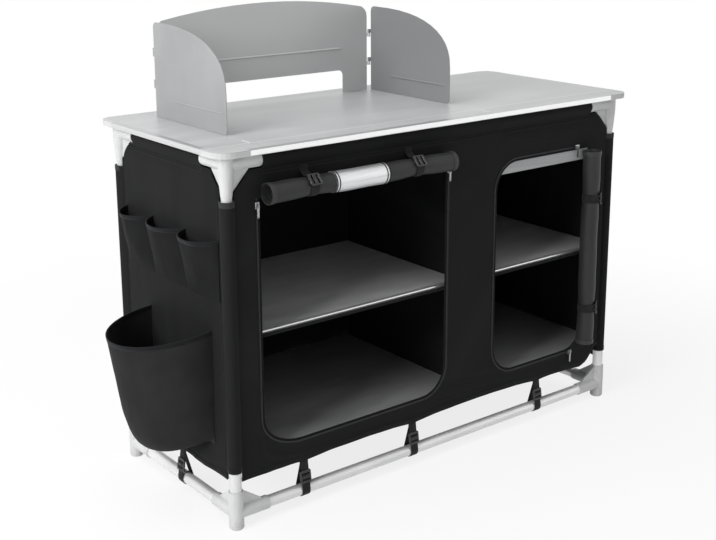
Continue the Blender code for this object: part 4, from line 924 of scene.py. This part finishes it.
def roll_end(side, at, s):
    """How far a lap's end is shifted: the core sits deeper in the roll than the outer laps."""
    (start, end), _, _, (_, seed) = ROLLS[side]
    middle, half = (start + end) / 2, (end - start) / 2
    near = soft_step(abs(at - middle), half - 0.06, half)
    deeper = 0.026 * (1 - s / DOOR_CLOTH) ** 1.2 * math.copysign(1.0, middle - at)
    return near * (deeper + 0.0018 * crumple(s, 0.0, seed + (at > middle), 0.03))


def on_roll(side, at, s, lift=0.0, shift=0.0):
    """A point of the rolled cloth, or just off it. The left roll lies, the right one stands."""
    out, off = roll_point(side, at, s)
    away = Vector((out - ROLL_STANDOFF, off)).normalized() * lift
    beside, depth = ROLLS[side][1] + off + away.y, -FACE - out - away.x
    return Vector((at + shift, depth, beside) if side == "left" else (beside, depth, at + shift))


for side, ((start, end), *_) in ROLLS.items():
    rows = marks_between(0, 0.06, 0.0022) + marks_between(0.06, DOOR_CLOTH, 0.0042) + [0.06]
    add_sheet(
        f"{side}_door_roll_cloth", f"{side}_door_roll",
        cut_oblong(start, end, 0, DOOR_CLOTH, marks_between(start, end, 0.009), rows),
        lambda u, v: on_roll(side, u, v, shift=roll_end(side, u, v)), ROLL_CLOTH,
        flat=(end - start, DOOR_CLOTH), held="folded", rests_on=[panels["front"]], thickness=0.001,
    )

# %% [markdown]
# ## Pockets
# The three cutlery pockets are bags sewn flat at the foot and pushed open at the mouth, most
# towards the back. The big pocket is a half round tub: half an ellipse in plan that draws in
# under its belly to a seam on the panel. Both are made by a rule from a share across and a share
# up, like a net laid on a basket, and both swell from the panel's own slack surface. The big
# pocket's pattern is a shaped piece that keeps about seven tenths of its rectangle.

# %% Lay out the pockets
CUTLERY = ("back", "middle", "front")
CUTLERY_Y = (0.184, 0.067, -0.066, -0.192)
CUTLERY_FOOT, CUTLERY_HEIGHT, CUTLERY_DEPTH = 0.480, 0.125, 0.035
CUTLERY_FULLNESS, CUTLERY_EASE, RIM_EASE = 1.13, 0.0009, 0.0016
POCKET_Y, POCKET_DEPTH = (0.092, -0.155), 0.160
POCKET_RIM, POCKET_SEAM = 0.400, 0.168
POCKET_PATTERN, POCKET_SHARE_KEPT = (0.459, 0.36), 0.72
POCKET_OUT = (1.00, 0.94, 0.87, 0.80, 0.68, 0.50, 0.27, 0.00)
POCKET_RISE = (0.948, 0.698, 0.397, 0.138, -0.052, -0.138, -0.121, 0.000)
SEWN_ON = 0.0074


def net(width, height, columns, rows):
    bm = bmesh.new()
    bmesh.ops.create_grid(bm, x_segments=columns, y_segments=rows, size=0.5)
    for vert in bm.verts:
        vert.co = ((vert.co.x + 0.5) * width, (vert.co.y + 0.5) * height, 0)
    return bm


def between_rows(values, place):
    """A smooth curve through evenly spaced values (Catmull-Rom)."""
    i = min(int(place), len(values) - 2)
    t = place - i
    a, b, c, d = (values[max(0, min(len(values) - 1, k))] for k in (i - 1, i, i + 1, i + 2))
    return b + 0.5 * t * (c - a + t * (2 * a - 5 * b + 4 * c - d + t * (3 * (b - c) + d - a)))


def cutlery_edges(i, ease):
    return CUTLERY_Y[i] - ease, CUTLERY_Y[i + 1] + ease


def cutlery_point(share, rise, i, ease):
    """A point of pocket i, a share across and up. The ease keeps it off its neighbours."""
    y0, y1 = cutlery_edges(i, ease)
    swell = max(0.0, math.sin(math.pi * share**0.75)) ** 0.65 * rise**0.85
    y, z = y0 + (y1 - y0) * share, CUTLERY_FOOT + CUTLERY_HEIGHT * rise
    loose = math.sin(math.pi * share) * math.sin(math.pi * min(1, rise * 1.1))
    out = CUTLERY_DEPTH * swell * (1 + 0.10 * crumple(share, rise, 31.0 + i, 0.3)) + 0.0016 * loose
    out += 0.0013 * loose * crumple(share * 0.13, rise * 0.1, 32.0 + i, 0.016)
    return Vector((-LEG_X - SEWN_ON - left_swell(y, z) - out, y, z - 0.006 * swell * rise))


def side_pocket_point(share, down):
    """The share goes round from the back seam to the front one, down from the rim to the foot."""
    place = down * (len(POCKET_OUT) - 1)
    out_share, rise = between_rows(POCKET_OUT, place), between_rows(POCKET_RISE, place)
    angle = math.pi * share
    out = math.sin(angle)
    middle, half = sum(POCKET_Y) / 2, (POCKET_Y[0] - POCKET_Y[1]) / 2
    side_z = POCKET_RIM + (POCKET_SEAM - POCKET_RIM) * down
    z = side_z + (POCKET_SEAM + (POCKET_RIM - POCKET_SEAM) * rise - side_z) * out
    z += 0.012 * share * (1 - out) * (1 - down) ** 2
    free = out * math.sin(math.pi * min(1, 0.12 + 0.85 * down))
    folds = 0.0045 * free * crumple(share * 0.46, down * 0.12, 21.0, 0.055)
    folds += 0.0016 * free * crumple(share * 0.46, down * 0.3, 23.0, 0.02)
    reach = POCKET_DEPTH * out_share * out * (1 + folds / POCKET_DEPTH) + abs(folds) * 0.2
    y = middle + (half * (1 - 0.02 * free * down)) * math.cos(angle)
    sewn_at = SEWN_ON + left_swell(y, z) * soft_step(0.02 - reach, 0.0, 0.02)
    return Vector((-LEG_X - sewn_at - reach, y, z))


hung = {"held": "hung", "rests_on": [panels["left"]]}
for i, name in enumerate(CUTLERY):
    y0, y1 = cutlery_edges(i, CUTLERY_EASE)
    width = (y0 - y1) * CUTLERY_FULLNESS
    add_sheet(
        f"cutlery_pocket_{name}_cloth", f"cutlery_pocket_{name}",
        net(width, CUTLERY_HEIGHT, 26, 16),
        lambda u, v: cutlery_point(u / width, v / CUTLERY_HEIGHT, i, CUTLERY_EASE),
        CUTLERY_CLOTH, flat=(width, CUTLERY_HEIGHT), **hung,
    )
width, height = POCKET_PATTERN
side_pocket = add_sheet(
    "side_pocket_cloth", "side_pocket", net(width, height, 64, 44),
    lambda u, v: side_pocket_point(u / width, 1 - v / height), POCKET_CLOTH,
    flat=POCKET_PATTERN, area=width * height * POCKET_SHARE_KEPT, **hung,
)
print("side pocket", [round(x, 3) for x in side_pocket.dimensions])

# %% [markdown]
# ## Trim along an edge
# Straps, bindings, zip tapes and piping are all one thing to model: a small section swept along
# an edge. The helper takes, for each point of the edge, where it is and which way is across and
# out, so the same few lines bind a door, a skirt and the mouth of a pocket.

# %% Sweep a section along an edge
def swept(name, frames, section, material, sharp=55, marks=None):
    """Each frame is (point, across, out); the section is a closed loop of (across, out)."""
    bm = bmesh.new()
    flat = bm.loops.layers.uv.new("flat")
    girth = [0.0]
    for a, b in zip(section, section[1:] + section[:1]):
        girth.append(girth[-1] + math.dist(a, b))
    marks = marks or girth
    rings, reach = [], 0.0
    for i, (point, across, out) in enumerate(frames):
        reach += (point - frames[max(i - 1, 0)][0]).length
        rings.append(([bm.verts.new(point + across * a + out * o) for a, o in section], reach))
    for (a, start), (b, end) in zip(rings, rings[1:]):
        for i in range(len(section)):
            j = (i + 1) % len(section)
            face = bm.faces.new([a[i], a[j], b[j], b[i]])
            low, high = marks[i], marks[i + 1]
            corners = ((low, start), (high, start), (high, end), (low, end))
            for loop, uv in zip(face.loops, corners):
                loop[flat].uv = uv
    bm.faces.new(rings[0][0][::-1])
    bm.faces.new(rings[-1][0])
    bmesh.ops.recalc_face_normals(bm, faces=bm.faces)
    return add_piece(name, smooth(mesh_of(name, bm), sharp), material)


def ways(points):
    """The direction of a path at each of its points."""
    return [(b - a).normalized() for a, b in zip([points[0], *points], [*points[1:], points[-1]])]


def even_steps(path, pitch):
    """Points at an even pitch along a path, each with its direction."""
    points = [Vector(p) for p in path]
    steps, carry = [], 0.0
    for a, b in zip(points, points[1:]):
        length = (b - a).length
        if length < 1e-9:
            continue
        way = (b - a) / length
        while carry <= length:
            steps.append((a + way * carry, way))
            carry += pitch
        carry -= length
    return steps


def panel_trim(name, panel, path, pitch, section, material):
    """Sweeps a section along a path drawn on a panel. Across is to the right of its way."""
    points = [p for p, _ in even_steps(path, pitch)] + [Vector(path[-1])]
    frames = []
    for before, at, after in zip([points[0], *points], points, [*points[1:], points[-1]]):
        a, b = at - before, after - at
        way = (a.normalized() + b.normalized()).normalized()
        bend = max(0.6, way.dot((b if b.length else a).normalized()))
        across = Vector((way.y, -way.x)) / bend
        side, out = SIDES[panel], PANEL_OFFSET + SWELLS[panel](at.x, at.y)
        origin = side(at.x, out, at.y)
        beyond = side(at.x + across.x, out, at.y + across.y)
        frames.append((origin, beyond - origin, side(at.x, out + 1, at.y) - origin))
    swept(name, frames, section, material)


# %% [markdown]
# ## Webbing and buckles
# Straps of ribbed webbing hold the cupboard down on the lower rails and the doors rolled up.
# Webbing is too thin and stiff for cloth simulation to help, so each strap is a path with a flat,
# soft-edged section swept along it. A ladder-lock buckle sits on each: a moulded plate with two
# slots and a middle bar, gripping ribs and rounded edges. The bevel on a filled curve rounds
# all its edges at once.

# %% Strap and buckle finishes
def ribbed_webbing():
    f = Finish("black_webbing", (0.011, 0.0112, 0.012), 0.6, cloth=True)
    across = f.figure("MULTIPLY", f.wave("X", 0.0025), 0.6)
    f.relief(f.figure("ADD", f.wave("Y", 0.0016), across), 0.0003, 0.6)
    f.drift(f.clouds(40.0), (0.016, 0.0163, 0.017), (0.008, 0.0082, 0.009))
    f.dull(f.clouds(90.0, 2.0), 0.5, 0.75)
    f.set({"Specular IOR Level": 0.15, "Sheen Weight": 0.05})
    return f.material


def fine_grained(f, light, dark, sizes, dullness, depth, strength=0.4, detail=2.0):
    """Clouds of three sizes: for the colour, the gloss and the grain of a small part."""
    f.drift(f.clouds(sizes[0]), light, dark)
    f.dull(f.clouds(sizes[1]), *dullness)
    f.relief(f.clouds(sizes[2], detail), depth, strength)
    return f.material


WEBBING = ribbed_webbing()
BUCKLE_PLASTIC = fine_grained(
    Finish("black_buckle_plastic", (0.012, 0.012, 0.0125), 0.22),
    (0.016, 0.016, 0.0165), (0.009, 0.009, 0.0095), (120.0, 200.0, 900.0), (0.16, 0.34), 0.00005,
)

# %% Strap and buckle shapes
STRAP_WIDTH, STRAP_THICKNESS = 0.020, 0.0012
HALF, SOFT = STRAP_WIDTH / 2, 0.0009
STRAP_FACE = [(-HALF, 0.25), (SOFT - HALF, 0.5), (0.0, 0.5), (HALF - SOFT, 0.5), (HALF, 0.25)]
STRAP_SECTION = [(a, o * STRAP_THICKNESS) for a, o in STRAP_FACE]
STRAP_SECTION += [(a, -o) for a, o in STRAP_SECTION[::-1]]
STRAP_MARKS = [a for a, _ in STRAP_SECTION] + [-HALF]


def rounded_plate(name, loops, thickness, edge):
    """Filled outlines in XY, thickened along Z with rounded edges."""
    sizes = {"extrude": thickness / 2 - edge, "bevel_depth": edge, "bevel_resolution": 2}
    return filled_curve(name, loops, offset=-edge, **sizes)


def rounded_box(width, length, radius, y=0.0):
    w, h = width / 2 - radius, length / 2 - radius
    corners = [((w, y + h), 0), ((-w, y + h), 90), ((-w, y - h), 180), ((w, y - h), 270)]
    return [p for c, start in corners for p in arc_points(c, radius, start, start + 90, 4)]


def buckle_mesh():
    """A ladder-lock, 27 by 28 mm: its face up Z, the strap running along Y."""
    slots = [rounded_box(0.020, 0.0048, 0.0012, y)[::-1] for y in (-0.0067, 0.0055)]
    plate = rounded_plate("buckle", [rounded_box(0.027, 0.028, 0.0035), *slots], 0.0036, 0.0008)
    bm = bmesh.new()
    bm.from_mesh(plate)
    for y in (-0.0010, 0.0006, 0.0021):
        rib = rounded_plate("rib", [rounded_box(0.019, 0.0011, 0.0005)], 0.0012, 0.0003)
        rib.transform(Matrix.Translation((0, y, 0.0020)))
        bm.from_mesh(rib)
    lip = rounded_plate("lip", [rounded_box(0.024, 0.0030, 0.0014)], 0.0030, 0.0008)
    lip.transform(Matrix.Translation((0, -0.0125, 0.0013)) @ Matrix.Rotation(-0.35, 4, "X"))
    bm.from_mesh(lip)
    return smooth(mesh_of("buckle", bm), 40)


BUCKLE_MESH = buckle_mesh()


def add_strap(name, path, seat, here):
    """A strap along a path in its own XY plane, its width along Z, and the buckle on it."""
    points = [Vector((x, y, 0)) for x, y in path]
    turn = here.to_3x3()
    frames = []
    for point, way in zip(points, ways(points)):
        frames.append((here @ point, turn.col[2], turn @ Vector((-way.y, way.x, 0))))
    swept(f"{name}_webbing", frames, STRAP_SECTION, WEBBING, sharp=40, marks=STRAP_MARKS)
    buckle = BUCKLE_MESH.copy()
    buckle.transform(here @ seat)
    add_piece(f"{name}_buckle", buckle, BUCKLE_PLASTIC)


# %% Rail straps
OUT_AND_UP = Matrix(((0, 0, -1, 0), (-1, 0, 0, 0), (0, 1, 0, 0), (0, 0, 0, 1)))
RAIL_LOOP = 0.01375
FORK, TAB_TOP = 0.060, 0.088


def rail_strap_path():
    """Out and up from the rail's axis: down inside, round under the rail and up outside."""
    fork = Vector((0.0042, FORK))
    spread = math.degrees(math.acos(RAIL_LOOP / fork.length))
    up = math.degrees(math.atan2(fork.y, fork.x))
    loop = arc_points((0, 0), RAIL_LOOP, up + spread, 360 + up - spread, 24)
    inside = [(0.0034, TAB_TOP), (0.0034, FORK + 0.008), (0.0030, FORK)]
    outside = [(0.0055, FORK), (0.0047, FORK + 0.008), (0.0047, TAB_TOP)]
    return [*inside, *loop, *outside]


def seat_on_leg():
    """Where a buckle sits on the strap's outer leg."""
    foot, top = (Vector((*p, 0)) for p in rail_strap_path()[-4:-2])
    way = (top - foot).normalized()
    outward = Vector((way.y, -way.x, 0))
    turn = Matrix(((0, 0, 1), way, outward)).transposed().to_4x4()
    return Matrix.Translation(foot + way * 0.030 + outward * 0.0008) @ turn


RAIL_STRAPS = [(f"front_strap_{i + 1}", x, -LEG_Y, 0) for i, x in enumerate(FRONT_STRAPS)]
RAIL_STRAPS += [(f"back_strap_{i + 1}", x, LEG_Y, 180) for i, x in enumerate(BACK_STRAPS)]
RAIL_STRAPS += [("left_strap", -LEG_X, SIDE_STRAP_Y, -90), ("right_strap", LEG_X, SIDE_STRAP_Y, 90)]
for name, x, y, degrees in RAIL_STRAPS:
    turn = Matrix.Rotation(math.radians(degrees), 4, "Z") @ OUT_AND_UP
    here = Matrix.Translation((x, y, LOWER_RAIL_Z)) @ turn
    add_strap(name, rail_strap_path(), seat_on_leg(), here)
print(len(RAIL_STRAPS), "rail straps")

# %% Straps of the rolled doors
ROLL_AT_STRAP = ROLL_OUTER * ROLL_PINCH + 0.0005 + STRAP_THICKNESS / 2
SIDE_ROLL = Matrix(((0, 1, 0, 0), (-1, 0, 0, 0), (0, 0, 1, 0), (0, 0, 0, 1)))
BUCKLE_TILT = math.radians(42)

roll_path = [(0.0007, 0.0385), (0.0007, 0.0300), (0.0026, 0.0270), (0.0070, 0.0240)]
roll_path += arc_points((ROLL_STANDOFF, 0), ROLL_AT_STRAP, 112, -156, 36)
reach = ROLL_AT_STRAP + 0.0016
across, up = reach * math.cos(BUCKLE_TILT), reach * math.sin(BUCKLE_TILT)
roll_seat = Matrix.Translation((ROLL_STANDOFF + across, up, 0))
for angle, axis in ((BUCKLE_TILT, "Z"), (math.pi / 2, "Y"), (math.pi / 2, "Z")):
    roll_seat = roll_seat @ Matrix.Rotation(angle, 4, axis)
for side, (_, axis, straps, _) in ROLLS.items():
    for i, at in enumerate(straps):
        place, turn = ((at, axis), OUT_AND_UP) if side == "left" else ((axis, at), SIDE_ROLL)
        here = Matrix.Translation((place[0], -FACE, place[1])) @ turn
        add_strap(f"{side}_roll_strap_{i + 1}", roll_path, roll_seat, here)

# %% [markdown]
# ## Zips
# A zip shows as a woven tape with a chain of teeth on it. Each tooth here is a real little
# block, wider at its head, set every two and a half millimetres along the chain's path. The
# sliders and pulls of the frame already sit on that path. The chain's metal is blackened, so
# that it only glints along its crests.

# %% Tape and teeth
ZIP_OFFSET, TOOTH_PITCH = 0.0065, 0.0026
TAPE_SECTION = [
    (-0.0072, -0.0004), (-0.0075, 0.0003), (-0.0070, 0.0010), (-0.0058, 0.0010),
    (-0.0050, 0.0008), (0.0052, 0.0008), (0.0056, 0.0004), (0.0056, -0.0004),
]
ZIP_TAPE = woven("zip_tape", (0.010, 0.0102, 0.011), (0.006, 0.0062, 0.007), 0.0008, 0.0002, 0.05)
ZIP_COIL = fine_grained(
    Finish("dark_zip_coil", (0.05, 0.05, 0.053), 0.45, 0.4),
    (0.07, 0.07, 0.074), (0.03, 0.03, 0.033), (400.0, 600.0, 2400.0), (0.4, 0.6), 0.00003,
)


def zip_path(door, right_end=None):
    """Round three sides of a door, a little outside its edge: the fourth side is sewn."""
    x0, x1, z0, z1 = door
    r, o = DOOR_RADIUS + ZIP_OFFSET, ZIP_OFFSET
    low_left = low_left_corner(door, o, 18)
    if right_end is None:
        low_right = arc_points((x1 + o - r, z0 - o + r), r, 270, 360, 16)
        return [(x0 - o, z1), *low_left, *low_right, (x1 + o, z1)]
    top_left = arc_points((x0 - o + r, z1 + o - r), r, 90, 180, 16)
    return [(right_end, z1 + o), *top_left, *low_left, (right_end, z0 - o)]


def row_of_blocks(name, panel, steps, block, material):
    """Copies of a small block, given as (along, across, out) corners and faces, along steps."""
    corners, faces = block
    bm = bmesh.new()
    for at, way in steps:
        right = Vector((way.y, -way.x))
        verts = []
        for along, across, out in corners:
            verts.append(bm.verts.new(on_panel(panel, *(at + way * along + right * across), out)))
        for face in faces:
            bm.faces.new([verts[i] for i in face])
    bmesh.ops.recalc_face_normals(bm, faces=bm.faces)
    add_piece(name, smooth(mesh_of(name, bm), 50), material)
    print(name, len(steps))


def tooth():
    """A tooth seen from above is a stub with a wider head towards the opening."""
    half = [(0.0006, 0.0018), (0.0006, -0.0008), (0.0010, -0.0012), (0.0008, -0.0021)]
    outline = [(-0.0006, 0.0018), *half] + [(-a, c) for a, c in half[:0:-1]]
    count = len(outline)
    low = [(a, c, 0.0007) for a, c in outline]
    top = [(a * 0.75, c * 0.92, 0.0019) for a, c in outline]
    walls = [[i, (i + 1) % count, count + (i + 1) % count, count + i] for i in range(count)]
    return low + top, [*walls, [count + i for i in range(count)]]


ZIPS = {"left_zip": zip_path(LEFT_DOOR), "right_zip": zip_path(RIGHT_DOOR, 0.436)}
for name, path in ZIPS.items():
    panel_trim(f"{name}_tape", "front", path, 0.006, TAPE_SECTION, ZIP_TAPE)
    steps = even_steps(path, TOOTH_PITCH)
    row_of_blocks(f"{name}_teeth", "front", steps, tooth(), ZIP_COIL)

# %% [markdown]
# ## Bindings and stitches
# Raw cloth frays, so every cut edge is folded into a narrow tape and sewn through. The bindings
# are swept along the skirts, the corner cuts and the mouths of the pockets. The stitches are
# small spindles of thread, one every three and a half millimetres, beside each seam.

# %% Bindings
def folded(upper, share):
    """A folded tape's section: the upper half, and a thinner one below."""
    return upper + [(a, -o * share) for a, o in upper[:0:-1]]


TAPE_HALF = [(0.0012, 0), (0.0008, 0.0011), (-0.001, 0.0014), (-0.008, 0.0012), (-0.0086, 0.0006)]
HEM_HALF = [(0.0008, 0), (0.0005, 0.001), (-0.0012, 0.0013), (-0.0105, 0.0011), (-0.0112, 0.0006)]
FOLD, HEM_FOLD = folded(TAPE_HALF, 0.8), folded(HEM_HALF, 0.7)
TAPE_WEAVE = (0.0009, 0.0002, 0.1)
BINDING = woven("edge_binding", (0.014, 0.0142, 0.015), (0.009, 0.0092, 0.010), *TAPE_WEAVE)
HEM_TAPE = woven("sleeve_hem", (0.046, 0.0464, 0.047), (0.034, 0.0343, 0.035), *TAPE_WEAVE)
SKIRTS = {"front": FRONT_SKIRT, "back": BACK_SKIRT, "left": END_SKIRT, "right": END_SKIRT}
for panel, path in SKIRTS.items():
    panel_trim(f"{panel}_skirt_binding", panel, path, 0.008, FOLD, BINDING)


def hem_sleeve(name, panel, hand, z, up, material):
    """The turned hem at an end of a leg sleeve: hand says which leg, up where the edge faces."""
    bends = [dipped_wrap(WRAP_LENGTH * (0.12 + 0.78 * i / 30)) for i in range(31)]
    ring = [SIDES[panel](hand * (LEG_Y + along), out, z) for out, along in bends]
    axis = SIDES[panel](hand * LEG_Y, 0, z)
    frames = [(point, Vector((0, 0, up)), (point - axis).normalized()) for point in ring]
    swept(name, frames, HEM_FOLD, material)


for panel in ("left", "right"):
    for hand in (-1, 1):
        name = f"{panel}_sleeve_{hand + 2}"
        hem_sleeve(f"{name}_foot_hem", panel, hand, SLEEVE_BOTTOM, -1, BINDING)
        hem_sleeve(f"{name}_top_hem", panel, hand, SLEEVE_TOP, 1, HEM_TAPE)


def bind_mouth(name, rule, steps, depth):
    """Binds a pocket's mouth: across runs up out of it, out away from the panel."""
    top, below = ([rule(i / steps, down) for i in range(steps + 1)] for down in (0.0, depth))
    frames = []
    for point, low, way in zip(top, below, ways(top)):
        up = (point - low).normalized()
        frames.append((point, up, way.cross(up).normalized()))
    swept(name, frames, FOLD, BINDING)


bind_mouth("side_pocket_rim", side_pocket_point, 64, 0.03)
for i, name in enumerate(CUTLERY):
    rule = lambda share, down: cutlery_point(share, 1 - down, i, RIM_EASE)
    bind_mouth(f"cutlery_{name}_rim", rule, 26, 0.06)

# %% Stitches
LONG_HEM, END_HEM, BACK_SEAM = 0.468, 0.137, 0.532
THREAD = fine_grained(
    Finish("black_thread", (0.035, 0.035, 0.037), 0.5),
    (0.045, 0.045, 0.047), (0.025, 0.025, 0.027), (300.0, 900.0, 1800.0), (0.45, 0.7),
    0.0001, 0.5, 3.0,
)
STITCH_PITCH, STITCH_HALF, THREAD_R = 0.0036, 0.0013, 0.00028
STITCH = [(-STITCH_HALF, 0, -0.0001), (0, THREAD_R, THREAD_R * 0.6), (0, 0, THREAD_R * 1.5)]
STITCH += [(0, -THREAD_R, THREAD_R * 0.6), (STITCH_HALF, 0, -0.0001)]
STITCH_FACES = [[0, 1, 2], [0, 2, 3], [1, 4, 2], [2, 4, 3], [0, 3, 1], [1, 3, 4]]


def seam(name, panel, lines, lift):
    """One object of stitches along several lines on a panel."""
    raised = [(a, c, o + lift) for a, c, o in STITCH]
    steps = [s for line in lines for s in even_steps(line, STITCH_PITCH)]
    row_of_blocks(f"{name}_stitches", panel, steps, (raised, STITCH_FACES), THREAD)


def beside(path, shift):
    """A line drawn beside a path, to the right of the way it runs."""
    points = [Vector(p) for p in path]
    return [p + Vector((way.y, -way.x)) * shift for p, way in zip(points, ways(points))]


def upright(u, z0, z1):
    return [(u, z0), (u, z1)]


def hem_lines(reach):
    return [[(-reach, HEM_SEAM - d), (reach, HEM_SEAM - d)] for d in (0.0015, 0.0085)]


long_hem, end_seams = hem_lines(LONG_HEM), hem_lines(END_HEM)
end_seams += [
    upright(u * (SLEEVE_SEAM - d), 0.125, 0.69) for u in (-1, 1) for d in (0.0015, 0.0065)
]
seam("front_tape", "front", [beside(path, 0.0044) for path in ZIPS.values()], 0.0008)
seam("front_hem", "front", long_hem, 0.0006)
seam("front_skirt", "front", [beside(FRONT_SKIRT, -0.0068)], 0.0012)
back_seams = [upright(u, 0.112, 0.70) for u in (-BACK_SEAM, BACK_SEAM)]
seam("back", "back", long_hem + back_seams, 0.0006)
for panel in ("left", "right"):
    seam(panel, panel, end_seams, 0.0006)

# %% [markdown]
# ## Silver band on the wide roll
# A plain reflective band wraps the wide roll between its straps. It is a thin coated cloth with
# a mirror-like foil face, so it needs fine crinkles to break up what it mirrors. Its pattern is
# laid just outside the roll's last turn, and a dark piping closes each end.

# %% Foil finish and band
BAND_X, BAND_SHARE, BAND_LIFT = (-0.320, -0.183), 0.84, 0.0012
PIPING = arc_points((0, 0), 0.0011, 0, 315, 7)


def foil():
    f = Finish("silver_foil_cloth", (0.80, 0.805, 0.81), 0.35, 0.6, cloth=True)
    crease = f.clouds(1.0, 5.0, (60, 18, 1), 0.7)
    f.drift(crease, (0.86, 0.865, 0.87), (0.62, 0.625, 0.635))
    f.dull(crease, 0.25, 0.45)
    f.relief(crease, 0.0012, 0.5)
    f.relief(f.clouds(500.0, 2.0), 0.0001, 0.4)
    return f.material


def on_last_turn(side, at, share, lift):
    turn = (ROLL_TURNS - 0.90 + BAND_SHARE * share) * math.tau
    return on_roll(side, at, cloth_to(turn), lift)


def ring_round(name, side, at, lift, section, material, heart=None):
    """Sweeps a section round a roll's last turn, at one place along it."""
    ring = [on_last_turn(side, at, k / 40, lift) for k in range(41)]
    heart = heart or sum(ring, Vector()) / len(ring)
    across = Vector((1, 0, 0) if side == "left" else (0, 0, 1))
    swept(name, [(p, across, (p - heart).normalized()) for p in ring], section, material)


girth = BAND_SHARE * math.tau * (ROLL_OUTER - BAND_LIFT)
add_sheet(
    "left_roll_silver_band", None,
    cut_oblong(*BAND_X, 0, girth, marks_between(*BAND_X, 0.006), marks_between(0, girth, 0.003)),
    lambda u, v: on_last_turn("left", u, v / girth, BAND_LIFT), foil(),
    flat=(BAND_X[1] - BAND_X[0], girth), held="stretched", rests_on=["left_door_roll_cloth"],
    slot="bright_trim", thickness=0.0007,
)
ends = (BAND_X[0] + 0.001, BAND_X[0] + 0.0075, BAND_X[1] - 0.0075, BAND_X[1] - 0.001)
for i, x in enumerate(ends):
    heart = Vector((x, -FACE - ROLL_STANDOFF, ROLLS["left"][1]))
    ring_round(f"left_roll_band_piping_{i + 1}", "left", x, 0.0018, PIPING, BINDING, heart)

# %% Hems at the ends of the rolls
ROLL_TAPE = woven("rolled_door_hem", (0.040, 0.0404, 0.041), (0.030, 0.0303, 0.031), **SMOOTHER)
ROLL_HEM = [(-0.0055, 0), (-0.0052, 0.0008), (0, 0.001), (0.0052, 0.0008), (0.0055, 0)]
ROLL_HEM += [(0, -0.0004)]
ROLL_ENDS = (("left", "left", 0), ("left", "right", 1), ("right", "top", 1), ("right", "foot", 0))
HEM_IN = (0.0045, -0.0045)
for side, edge, end in ROLL_ENDS:
    at = ROLLS[side][0][end] + HEM_IN[end]
    ring_round(f"{side}_roll_{edge}_end_hem", side, at, 0.0009, ROLL_HEM, ROLL_TAPE)

# %% [markdown]
# ## Small bright parts
# Two last things catch the light: the aluminium strips that cap the front edges of the shelf
# boards, and the white joint covers where the worktop's boards meet at the front rim.

# %% Shelf strips and joint covers
SHELF_FRONT, SHELF_FOOT = -0.2050, 0.3998
STRIP = [
    (0.0, -0.0008), (-0.0006, 0.0), (-0.0006, 0.005), (0.0, 0.0056), (0.009, 0.0056),
    (0.009, 0.0050), (0.0002, 0.0048), (0.0002, 0.0002), (0.009, 0.0000), (0.009, -0.0008),
]
STRIP_ENDS = {"left": (-0.531, 0.0715), "right": (0.0805, 0.531)}
COVERS = ((-0.4745, -0.176), (0.1255, -0.222))
board_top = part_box("worktop_board_centre")[1][2] + 0.0001
back, up = Vector((0, 1, 0)), Vector((0, 0, 1))
for name, (x0, x1) in STRIP_ENDS.items():
    places = [Vector((x, SHELF_FRONT, SHELF_FOOT)) for x in (x0, (x0 + x1) / 2, x1)]
    frames = [(place, back, up) for place in places]
    swept(f"{name}_shelf_strip", frames, STRIP, SHELF_STRIP_METAL)
for i, (x, y) in enumerate(COVERS):
    name = f"joint_cover_{i + 1}"
    cover = rounded_plate(name, [rounded_box(0.0042, 0.030, 0.0018)], 0.0009, 0.0003)
    cover.transform(Matrix.Translation((x, y, board_top)))
    add_piece(name, cover, CORNER_GREY)
